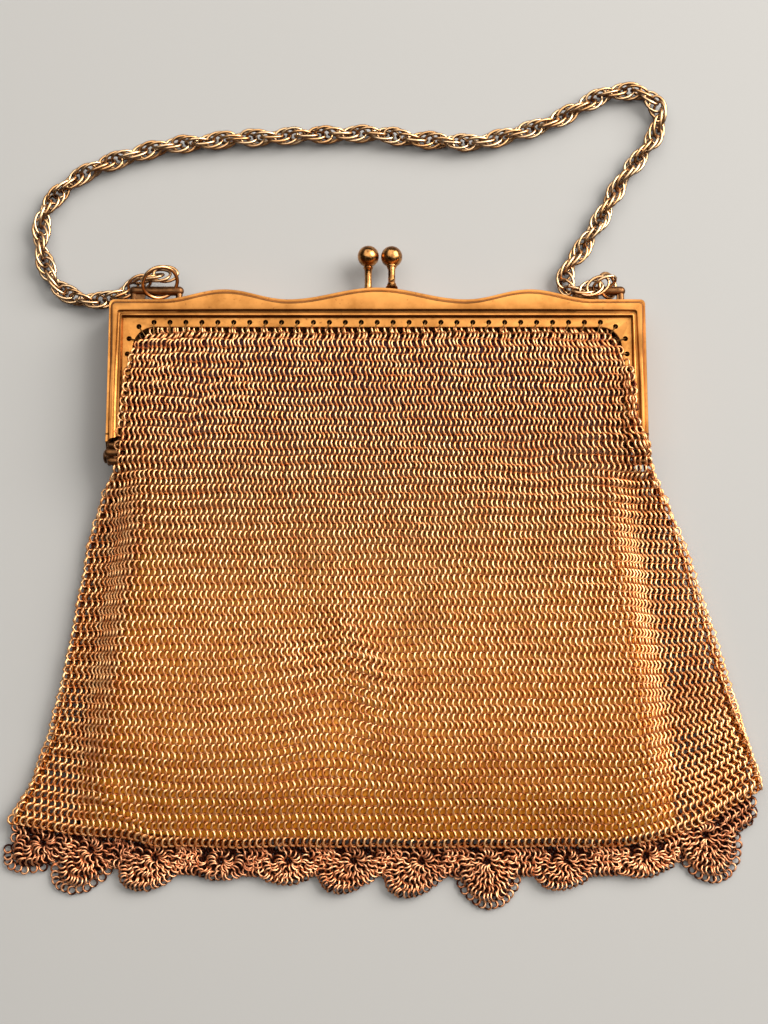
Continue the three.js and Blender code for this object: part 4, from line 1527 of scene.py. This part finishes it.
@dataclass
class SewingWires:
    """Thin wire eyes that hang the mesh from the holes of both flanges."""

    reach: float = 2.3
    height: float = 0.95
    wire: float = 0.16
    hook: float = 0.35
    # slant along the top, x that it sets in from, and the run over which it does
    slant: tuple[float, float, float] = (-0.3, -55.0, 25.0)
    # eyes above this corner hang down, eyes beside it point inwards, and between those they fan round it
    corner: tuple[float, float] = (58.8, 28.7)

    def dress(self, purse_frame: PurseFrame, tool: WireRings) -> None:
        """Hang an eye from every hole, slanting a little to the left along the top and square off the legs."""
        holes = purse_frame.holes()
        corner_x, corner_y = self.corner
        slant, start, run = self.slant
        ways = []
        for x, y in holes:
            if y > corner_y and abs(x) <= corner_x:
                ways.append((slant * float(ease((x - start) / run)), -1.0))
            else:
                ways.append((-math.copysign(max(abs(x) - corner_x, 0), x), -max(y - corner_y, 0)))
        flat = unit(np.array(ways))
        for facing in Facing:
            eyes = RingField(self.height, self.reach, self.wire, 14, 5)
            z = purse_frame.half_depth + facing.value * purse_frame.flange_z
            places = np.column_stack([holes + flat * (self.reach - self.hook), np.full(len(holes), z)])
            up = np.tile([0.0, 0.0, 1.0], (len(holes), 1))
            eyes.add(places, up, np.column_stack([flat, np.zeros(len(holes))]))
            piece = eyes.piece(f"sewing_wires_{facing.name.lower()}", tool, SEWING_WIRE)
            settle(piece, SEWING_WIRE)


@dataclass
class LiningPouch:
    """The satin lining: a flat sewn pouch that follows the bag from the inside, open at the mouth."""

    form: BagForm
    top_y: float = 31.5
    bottom_y: float = -97.2
    from_fold: float = 2.5
    depth_low: float = 2.3
    depth_high: float = 4.2
    back_z: float = 2.3
    wall: float = 0.35
    across: int = 72
    down: int = 72
    # y, half depth and reach of the bulge below the right hinge
    bulge: tuple[float, float, float] = (-4.8, 2.0, 4.4)
    # y between which the sides come out at the mouth, and what they then keep from the bag's edge
    flare: tuple[float, float, float] = (-8.0, 2.0, -1.2)
    # y between which the pouch goes from its low to its high depth under the bag's face
    depth_span: tuple[float, float] = (-30.0, 20.0)
    least_hollow: float = 0.05
    seam_run: float = 3.0
    ripple: float = 0.18
    sharp: float = 60.0
    weld: float = 0.02

    def sheet(self, front: bool) -> np.ndarray:
        """Give one panel's points by row and place.

        Args:
            front: Whether it is the front panel.

        Returns:
            The points.
        """
        flare_from, flare_to, at_mouth = self.flare
        bulge_y, half_depth, reach = self.bulge
        rows = []
        for y in np.linspace(self.top_y, self.bottom_y, self.down):
            _, left, right, _, _, _ = self.form.row(y)
            inside = np.interp(y, [flare_from, flare_to], [self.from_fold, at_mouth])
            bulge = reach * math.exp(-(((y - bulge_y) / half_depth) ** 2))
            x = np.linspace(left + inside, right - inside + bulge, self.across)
            span = np.linspace(-1, 1, self.across)
            depth = np.interp(y, self.depth_span, [self.depth_low, self.depth_high])
            high = np.maximum(self.form.cover(y, x) - depth, self.back_z + self.least_hollow)
            seam = (1 - np.abs(span) ** 14) * ease((y - self.bottom_y) / self.seam_run + 0.02)
            middle = (high + self.back_z) / 2
            ripple = self.ripple * np.sin(0.5 * x + 0.12 * y) * np.sin(0.21 * y + 0.4) * seam
            half = (high - self.back_z) / 2 * seam
            z = middle + half + ripple if front else middle - half
            rows.append(np.column_stack([x, self.form.risen(y, x), z]))
        return np.array(rows)

    def dress(self) -> None:
        """Sew both panels together, give them their thickness and settle the pouch."""
        sketch = Sketch()
        n, m = self.across, self.down
        front, back = self.sheet(True), self.sheet(False)
        back[:, [0, -1]] = front[:, [0, -1]]
        back[-1] = front[-1]
        quads = [
            [j * n + i, (j + 1) * n + i, (j + 1) * n + i + 1, j * n + i + 1] for j in range(m - 1) for i in range(n - 1)
        ]
        sketch.add(front.reshape(-1, 3), quads)
        sketch.add(back.reshape(-1, 3), [quad[::-1] for quad in quads])
        pouch = sketch.piece("lining_pouch", GOLD_SATIN, self.sharp)
        weld = pouch.modifiers.new("seam", "WELD")
        weld.merge_threshold = self.weld * MM
        wall = pouch.modifiers.new("wall", "SOLIDIFY")
        wall.thickness, wall.offset = self.wall * MM, -1.0
        done = pouch.evaluated_get(bpy.context.evaluated_depsgraph_get())
        mesh = bpy.data.meshes.new_from_object(done)
        pouch.modifiers.clear()
        pouch.data = mesh
        shade(mesh, self.sharp)
        settle(pouch, GOLD_SATIN, "lining")


# A fan's x, its reach below the eyelet, its lean to the right, and whether open rings edge its rim.
Fan = tuple[float, float, float, bool]


class Layer(Enum):
    """The edging's layers, each with the spread of its rings' places and the share of it that goes up."""

    FAN = (0.14, 0.4)
    BAND = (0.1, 0.4)
    BACK = (0.08, 0.2)

    def strew(self, places: np.ndarray, rng: np.random.Generator) -> np.ndarray:
        """Loosen the places of the layer's rings.

        Args:
            places: Ring middles.
            rng: Seeded looseness.

        Returns:
            The moved middles.
        """
        spread, upwards = self.value
        return places + rng.normal(0, spread, places.shape) * np.array([1.0, 1.0, upwards])


@dataclass
class ScallopEdging:
    """The edging below the hem: a band with gaps, and fans of rings that spread from eyelets."""

    form: BagForm
    ring: float = 1.14
    rim_ring: float = 1.02
    wire: float = 0.27
    eye_drop: float = 3.6
    eye_clear: float = 2.15
    half_width: float = 8.6
    gap_aside: float = 3.3
    gap_drop: float = 1.5
    gap_clear: float = 1.85
    under: float = 0.8
    z: float = 1.55
    left: float = -91.5
    right: float = 95.5
    # spacing of a fan's rows, and of the rings along a row and along an open rim; rings round an eyelet
    fan_row: float = 1.45
    fan_pitch: float = 1.12
    rim_pitch: float = 2.0
    eye_rings: int = 13
    # how far the last row's middles stay inside the rim's line, and the lean of rings, each for a row and an open rim
    fan_inset: float = 1.15
    rim_inset: float = 0.7
    fan_lean: float = 0.82
    rim_lean: float = 0.22
    fan_loose: float = 0.16
    band_drops: tuple[float, ...] = (0.3, 1.8, 3.3, 4.8, 6.3)
    band_pitch: float = 1.3
    band_lean: float = 0.62
    # looseness of the lean, turn and tip of the band's rings
    band_loose: tuple[float, float, float] = (0.2, 0.18, 0.1)
    # how much of the way to a fan's rim the band leaves free, and how much the back layer fills; the band's way round
    # an eyelet's rings
    fan_free: float = 0.86
    fan_filled: float = 0.72
    eye_free: float = 0.9
    # the back layer's rows, their first drop and spacing, how far down they go between fans, and their rings
    back_rows: int = 13
    back_first: float = 0.6
    back_row: float = 1.3
    back_depth: float = 6.0
    back_pitch: float = 1.5
    back_lean: float = 0.3
    back_loose: float = 0.06
    fans: tuple[Fan, ...] = (
        (-84.4, 7.0, -4.5, True),
        (-72.3, 10.5, -4.5, True),
        (-56.1, 8.5, -3.5, False),
        (-39.5, 4.8, 0.0, False),
        (-22.4, 6.0, -0.8, False),
        (-5.8, 8.0, -3.4, False),
        (11.2, 9.0, -4.0, False),
        (27.8, 11.6, 0.5, True),
        (47.9, 7.2, -2.0, False),
        (67.9, 5.5, -1.7, False),
        (83.1, 11.5, 1.8, True),
    )

    def eye(self, x: float) -> np.ndarray:
        """Give the middle of a fan's eyelet."""
        return np.array([x, float(self.form.hem(np.array(x))) - self.eye_drop])

    def share(self, fan: Fan, spots: np.ndarray) -> np.ndarray:
        """Give how far spots lie from a fan's eyelet, as a share of the way to its rim.

        Args:
            fan: The fan's row in the list.
            spots: Flat places, one a row.

        Returns:
            The shares; above the eyelet they are large.
        """
        x, reach, lean, _ = fan
        off = spots - self.eye(x)
        sine = off[:, 1] / reach
        share = np.hypot(sine, (off[:, 0] + lean * sine) / self.half_width)
        return np.where(off[:, 1] < 0.4, share, 9.0)

    def fan(self, rings: RingField, rims: RingField, fan: Fan, rng: np.random.Generator) -> None:
        """Set one fan's rows of rings round its eyelet.

        Args:
            rings: Where the rings go.
            rims: Where the open rings of the rim go.
            fan: The fan's row in the list.
            rng: Seeded looseness.
        """
        x, reach, lean, open_rim = fan
        eye = self.eye(x)
        mean = (self.half_width + reach) / 2
        rows = max(3, round((mean - self.eye_clear - 1.0) / self.fan_row) + 1)
        for m, part in enumerate(np.linspace(0, 1, rows)):
            first, last = m == 0, open_rim and m == rows - 1
            arc = math.pi * (self.eye_clear + part * (mean - self.eye_clear))
            count = self.eye_rings if first else round(arc / (self.rim_pitch if last else self.fan_pitch))
            # The first row goes all the way round, an open rim half of it, and the others a little more than half.
            spread = 2.0 if first else 1.0 if last else 1.2
            turn = 1.5 * math.pi + spread * math.pi * ((np.arange(count) + 0.5 * (1 + m % 2) - 0.25) / count - 0.5)
            way = np.column_stack(
                [self.half_width * np.cos(turn) - lean * np.sin(turn), reach * np.sin(turn), np.zeros(count)]
            )
            radial, length = unit(way), np.linalg.norm(way, axis=1)
            rim = np.maximum(length - (self.rim_inset if last else self.fan_inset), self.eye_clear + 0.5)
            middles = np.column_stack([np.tile(eye, (count, 1)), np.full(count, self.z)])
            middles += radial * (self.eye_clear + part * (rim - self.eye_clear))[:, None]
            middles = Layer.FAN.strew(middles, rng)
            side = np.column_stack([-radial[:, 1], radial[:, 0], np.zeros(count)])
            lean_to = (self.rim_lean if last else self.fan_lean) * (1 if m % 2 else -1)
            angle = lean_to + rng.normal(0, self.fan_loose, count)
            up = np.array([0.0, 0.0, 1.0])
            across = np.sign(angle)[:, None] * (np.cos(angle)[:, None] * side + np.sin(angle)[:, None] * up)
            if last:
                middles[:, 2] = self.rim_ring * 0.5 + self.wire
            (rims if last else rings).add(middles, across, radial + rng.normal(0, self.fan_loose, (count, 1)) * side)

    def band(self, rings: RingField, rng: np.random.Generator) -> None:
        """Set the band's rows below the hem, clear of the gaps beside the eyelets and of the fans."""
        loose_lean, loose_turn, loose_tip = self.band_loose
        for k, drop in enumerate(self.band_drops):
            x = np.arange(self.left + self.band_pitch / 2 * (k % 2), self.right, self.band_pitch)
            y = self.form.hem(x) - drop
            spots = np.column_stack([x, y])
            keep = np.ones(len(x), bool)
            for fan in self.fans:
                eye = self.eye(fan[0])
                for aside in (-self.gap_aside, self.gap_aside):
                    gap = eye + np.array([aside, self.eye_drop - self.gap_drop])
                    keep &= np.linalg.norm(spots - gap, axis=1) > self.gap_clear
                keep &= self.share(fan, spots) > self.fan_free
                keep &= np.linalg.norm(spots - eye, axis=1) > self.eye_clear + self.eye_free
            count = int(keep.sum())
            places = np.column_stack([spots[keep], np.full(count, self.z)])
            places = Layer.BAND.strew(places, rng)
            angle = self.band_lean * (1 if k % 2 else -1) + rng.normal(0, loose_lean, count)
            across = np.sign(angle)[:, None] * np.column_stack([np.cos(angle), np.zeros(count), np.sin(angle)])
            turn, tip = (rng.normal(0, loose, count) for loose in (loose_turn, loose_tip))
            along = np.column_stack([turn, -np.ones(count), tip])
            rings.add(places, across, along)

    def backing(self, rings: RingField, rng: np.random.Generator) -> None:
        """Set the rings of the back layer, coloured as painted shade, which show dark in the gaps and the eyelets."""
        for k in range(self.back_rows):
            x = np.arange(self.left + self.back_pitch / 2 * (k % 2), self.right, self.back_pitch)
            drop = self.back_first + self.back_row * k
            spots = np.column_stack([x, self.form.hem(x) - drop])
            keep = np.full(len(x), drop < self.back_depth)
            for fan in self.fans:
                keep |= self.share(fan, spots) < self.fan_filled
            count = int(keep.sum())
            places = np.column_stack([spots[keep], np.full(count, self.under)])
            places = Layer.BACK.strew(places, rng)
            angle = self.back_lean * (1 if k % 2 else -1) + rng.normal(0, self.back_loose, count)
            across = np.sign(angle)[:, None] * np.column_stack([np.cos(angle), np.zeros(count), np.sin(angle)])
            rings.add(places, across, np.tile([0.0, -1.0, 0.0], (count, 1)))

    def dress(self, tool: WireRings) -> None:
        """Set the back layer, the band and every fan, and settle the edging."""
        rng = np.random.default_rng(SEED + 2)
        rings = RingField(self.ring, self.ring, self.wire, 8, 4)
        rims = RingField(self.rim_ring, self.rim_ring, self.wire, 12, 4)
        behind = RingField(self.ring, self.ring, self.wire, 8, 3)
        self.band(rings, rng)
        for fan in self.fans:
            self.fan(rings, rims, fan, rng)
        self.backing(behind, rng)
        settle(rings.piece("scallop_rings", tool, EDGE_WIRE), EDGE_WIRE, "scallop_border")
        settle(rims.piece("scallop_rims", tool, EDGE_WIRE), EDGE_WIRE, "scallop_border")
        settle(behind.piece("scallop_backing", tool, SHADED_BACK_WIRE), SHADED_BACK_WIRE, "scallop_border")


@dataclass
class ChainHandle:
    """The chain: oval links set close, each passing through the next three, with its end rings and loops."""

    pitch: float = 1.85
    half_length: float = 3.2
    half_width: float = 2.15
    wire: float = 0.42
    skew: float = 0.16
    twist: float = math.radians(35)
    z: float = 2.66
    end_lift: float = 4.4
    # how far from its ends the chain starts to climb, and the run of the climb
    end_climb: tuple[float, float] = (10.0, 7.0)
    loose_twist: float = 0.1
    ring_wire: float = 0.5
    loop_wire: float = 1.0
    loop_span: float = 14.0
    loop_rise: float = 4.0
    loop_z: float = 4.6
    barrel: float = 1.25
    gap: float = 0.3
    top: float = 41.0
    # how far the loops sink into the frame's top, and half the thickness, bevel and least width of their webs
    sunk: float = 0.4
    web: tuple[float, float, float] = (0.55, 0.1, 0.8)
    # name, loop middle, ring x and radius, ring tilt and rise in degrees, half the opening in the loop's web
    ends: tuple[tuple[str, float, float, float, float, float, float], ...] = (
        ("left", -58.6, -57.2, 4.6, 62.0, 48.0, 4.4),
        ("right", 58.6, 61.1, 3.3, 48.0, 0.0, 2.4),
    )
    route: tuple[tuple[float, float], ...] = (
        (-56.0, 48.9),
        (-60.6, 48.0),
        (-64.6, 46.9),
        (-68.4, 44.8),
        (-73.0, 43.2),
        (-78.3, 43.2),
        (-83.8, 45.7),
        (-88.0, 51.2),
        (-90.2, 58.2),
        (-89.9, 65.2),
        (-87.4, 70.9),
        (-82.2, 76.4),
        (-75.5, 80.2),
        (-64.8, 84.3),
        (-51.2, 87.1),
        (-34.9, 88.6),
        (-18.5, 89.4),
        (-2.1, 89.8),
        (12.0, 88.2),
        (25.2, 87.4),
        (36.1, 89.4),
        (47.1, 93.2),
        (55.4, 97.4),
        (62.0, 101.1),
        (69.2, 102.0),
        (74.8, 99.4),
        (76.8, 94.8),
        (75.2, 89.2),
        (71.2, 83.4),
        (64.8, 74.4),
        (59.0, 63.8),
        (54.8, 57.2),
        (51.2, 52.2),
        (50.2, 48.4),
        (51.8, 45.6),
        (55.6, 45.0),
        (60.0, 46.4),
    )

    def line(self, steps: int = 16) -> np.ndarray:
        """Give a smooth line through the route's points."""
        p = np.array(self.route)
        p = np.vstack([2 * p[0] - p[1], p, 2 * p[-1] - p[-2]])
        t = np.linspace(0, 1, steps, endpoint=False)[:, None]
        runs = [
            0.5 * (2 * b + (c - a) * t + (2 * a - 5 * b + 4 * c - d) * t**2 + (3 * b - a - 3 * c + d) * t**3)
            for a, b, c, d in zip(p[:-3], p[1:-2], p[2:-1], p[3:])
        ]
        return np.vstack([*runs, p[-2:-1]])

    def links(self, tool: WireRings) -> bpy.types.Object:
        """Set the links along the line, turning on from one to the next."""
        line = self.line()
        reach = np.concatenate([[0.0], np.cumsum(np.linalg.norm(np.diff(line, axis=0), axis=1))])
        count = int(reach[-1] // self.pitch) + 1
        spots = np.linspace(0.0, reach[-1], count)
        near = 0.5 * self.pitch
        ends = [np.column_stack([np.interp(spots + way, reach, line[:, k]) for k in (0, 1)]) for way in (-near, near)]
        flat = unit(ends[1] - ends[0])
        way = np.column_stack([flat, np.zeros(count)])
        side = np.column_stack([-flat[:, 1], flat[:, 0], np.zeros(count)])
        up = np.array([0.0, 0.0, 1.0])
        rng = np.random.default_rng(SEED + 3)
        roll = self.twist * np.arange(count) + rng.normal(0, self.loose_twist, count)
        across = np.cos(roll)[:, None] * side + np.sin(roll)[:, None] * up
        # The last links lie on the barrels.
        start, run = self.end_climb
        raised = self.z + self.end_lift * ease((start - np.minimum(spots, reach[-1] - spots)) / run)
        middles = np.column_stack([*(np.interp(spots, reach, line[:, k]) for k in (0, 1)), raised])
        chain = RingField(self.half_width, self.half_length, self.wire, 16, 6)
        chain.add(middles, across + self.skew * way, way)
        piece = chain.piece("chain_links", tool, LINK_WIRE)
        shade_wire_sides(piece)
        return piece

    def lug(self, sketch: Sketch, loop_x: float, ring_x: float, opening: float) -> None:
        """Draw a barrel soldered to the frame's top on a web, with an opening where the ring passes.

        Args:
            sketch: Where it is drawn.
            loop_x: The barrel's middle.
            ring_x: The ring's middle.
            opening: Half the opening's width.
        """
        half = self.loop_span / 2 - self.loop_wire
        low, high, z = self.top - self.sunk, self.top + self.loop_rise, self.loop_z
        bar = np.linspace(loop_x - half, loop_x + half, 9)
        sketch.rod(np.column_stack([bar, np.full(9, high), np.full(9, z)]), self.barrel, 20)
        for leg_x in (loop_x - half, loop_x + half):
            sketch.rod(np.array([(leg_x, y, z) for y in np.linspace(low, high, 4)]), self.loop_wire * 0.9, 14, 2)
        thick, bevel, least = self.web
        depths = ((-thick, bevel), (bevel - thick, 0.0), (thick - bevel, 0.0), (thick, bevel))
        for left, right in ((loop_x - half, ring_x - opening), (ring_x + opening, loop_x + half)):
            if right - left > least:
                corners = np.array([(left, low), (right, low), (right, high), (left, high)])
                inward = np.array([(1, 1), (-1, 1), (-1, -1), (1, -1)])
                skin = [np.column_stack([corners + inset * inward, np.full(4, z + d)]) for d, inset in depths]
                sketch.loft(np.stack(skin))

    def dress(self, tool: WireRings) -> None:
        """Settle the links, the end rings and the loops that are soldered to the frame."""
        settle(self.links(tool), LINK_WIRE, "chain_handle")
        loops = Sketch()
        bar_y = self.top + self.loop_rise
        foot_y = bar_y - self.loop_wire - self.gap - self.ring_wire
        for name, loop_x, ring_x, radius, tilt, rise, opening in self.ends:
            turn, lift = math.radians(90 - tilt), math.radians(rise)
            across = np.array([[math.cos(turn), 0.0, -math.sin(turn)]])
            along = np.array([[0.0, math.cos(lift), math.sin(lift)]])
            end = RingField(radius, radius, self.ring_wire, 40, 12)
            end.add(np.array([[ring_x, foot_y, self.loop_z]]) + radius * along, across, along)
            piece = end.piece(f"end_ring_{name}", tool, LINK_WIRE)
            shade_wire_sides(piece)
            settle(piece, LINK_WIRE, f"chain_ring_{name}")
            self.lug(loops, loop_x, ring_x, opening)
        settle(loops.piece("chain_loops", DARK_BRASS), DARK_BRASS)


@dataclass
class Studio:
    """The floor, the soft lights and the camera."""

    target: tuple[float, float] = (1.77, -13.64)
    elevation: float = 81.12
    distance: float = 393.8
    lens: float = 52.73
    # name, place, width, length and power of each soft light, in metres and watts
    lamps: tuple[tuple[str, tuple[float, float, float], float, float, float], ...] = (
        ("overhead", (0.15, 0.45, 1.1), 2.4, 1.9, 30.0),
        ("window_right", (1.15, 0.55, 1.0), 1.2, 1.2, 50.0),
    )
    room: str = "#8a7f74"
    room_strength: float = 0.12
    # half width and height of the floor in metres, a hair under the purse
    floor_reach: float = 4.0
    floor_z: float = -0.0002

    def camera(self) -> None:
        """Stand the camera over the purse, as it was looked at."""
        lens = bpy.data.cameras.new("camera")
        lens.sensor_width, lens.lens = 36.0, self.lens
        lens.clip_start, lens.clip_end = 0.01, 20.0
        camera = bpy.data.objects.new("camera", lens)
        bpy.context.scene.collection.objects.link(camera)
        rise = math.radians(self.elevation)
        back = Vector((0.0, -math.cos(rise), math.sin(rise)))
        aim = Vector(DATUM.metres(np.array([*self.target, 0.0])))
        camera.location = aim + back * (self.distance * MM)
        camera.rotation_euler = (math.pi / 2 - rise, 0.0, 0.0)
        bpy.context.scene.camera = camera

    def floor(self) -> None:
        """Lay the paper sweep under the purse."""
        mesh = bpy.data.meshes.new("floor")
        reach, low = self.floor_reach, self.floor_z
        corners = [(-reach, -reach, low), (reach, -reach, low), (reach, reach, low), (-reach, reach, low)]
        mesh.from_pydata(corners, [], [(0, 1, 2, 3)])
        mesh.materials.append(PALE_PAPER.material())
        floor = bpy.data.objects.new("floor", mesh)
        bpy.context.scene.collection.objects.link(floor)

    def lights(self) -> None:
        """Hang the soft lights and dim the room."""
        for name, place, width, length, power in self.lamps:
            lamp = bpy.data.lights.new(name, "AREA")
            lamp.shape, lamp.size, lamp.size_y, lamp.energy = "RECTANGLE", width, length, power
            light = bpy.data.objects.new(name, lamp)
            light.location = place
            light.rotation_euler = (-Vector(place)).to_track_quat("-Z", "Y").to_euler()
            bpy.context.scene.collection.objects.link(light)
        world = bpy.data.worlds.new("room")
        world.use_nodes = True
        world.node_tree.nodes["Background"].inputs["Color"].default_value = linear(self.room)
        world.node_tree.nodes["Background"].inputs["Strength"].default_value = self.room_strength
        bpy.context.scene.world = world
        bpy.context.scene.view_settings.view_transform = "Standard"

    def dress(self) -> None:
        """Set up the camera, the floor and the lights."""
        self.camera()
        self.floor()
        self.lights()


def main() -> None:
    """Build the purse's sub-assemblies in order."""
    logging.basicConfig(level=logging.INFO, format="%(name)s %(message)s")
    form = BagForm()
    rings, drill = WireRings(), PiercedSheet()
    purse_frame = PurseFrame()
    Studio().dress()
    ChainHandle().dress(rings)
    purse_frame.dress(drill)
    Hinge().dress()
    KissLock().dress(purse_frame)
    LiningPouch(form).dress()
    MeshBag(form).dress(purse_frame, rings)
    SewingWires().dress(purse_frame, rings)
    ScallopEdging(form).dress(rings)


if __name__ == "__main__":
    main()
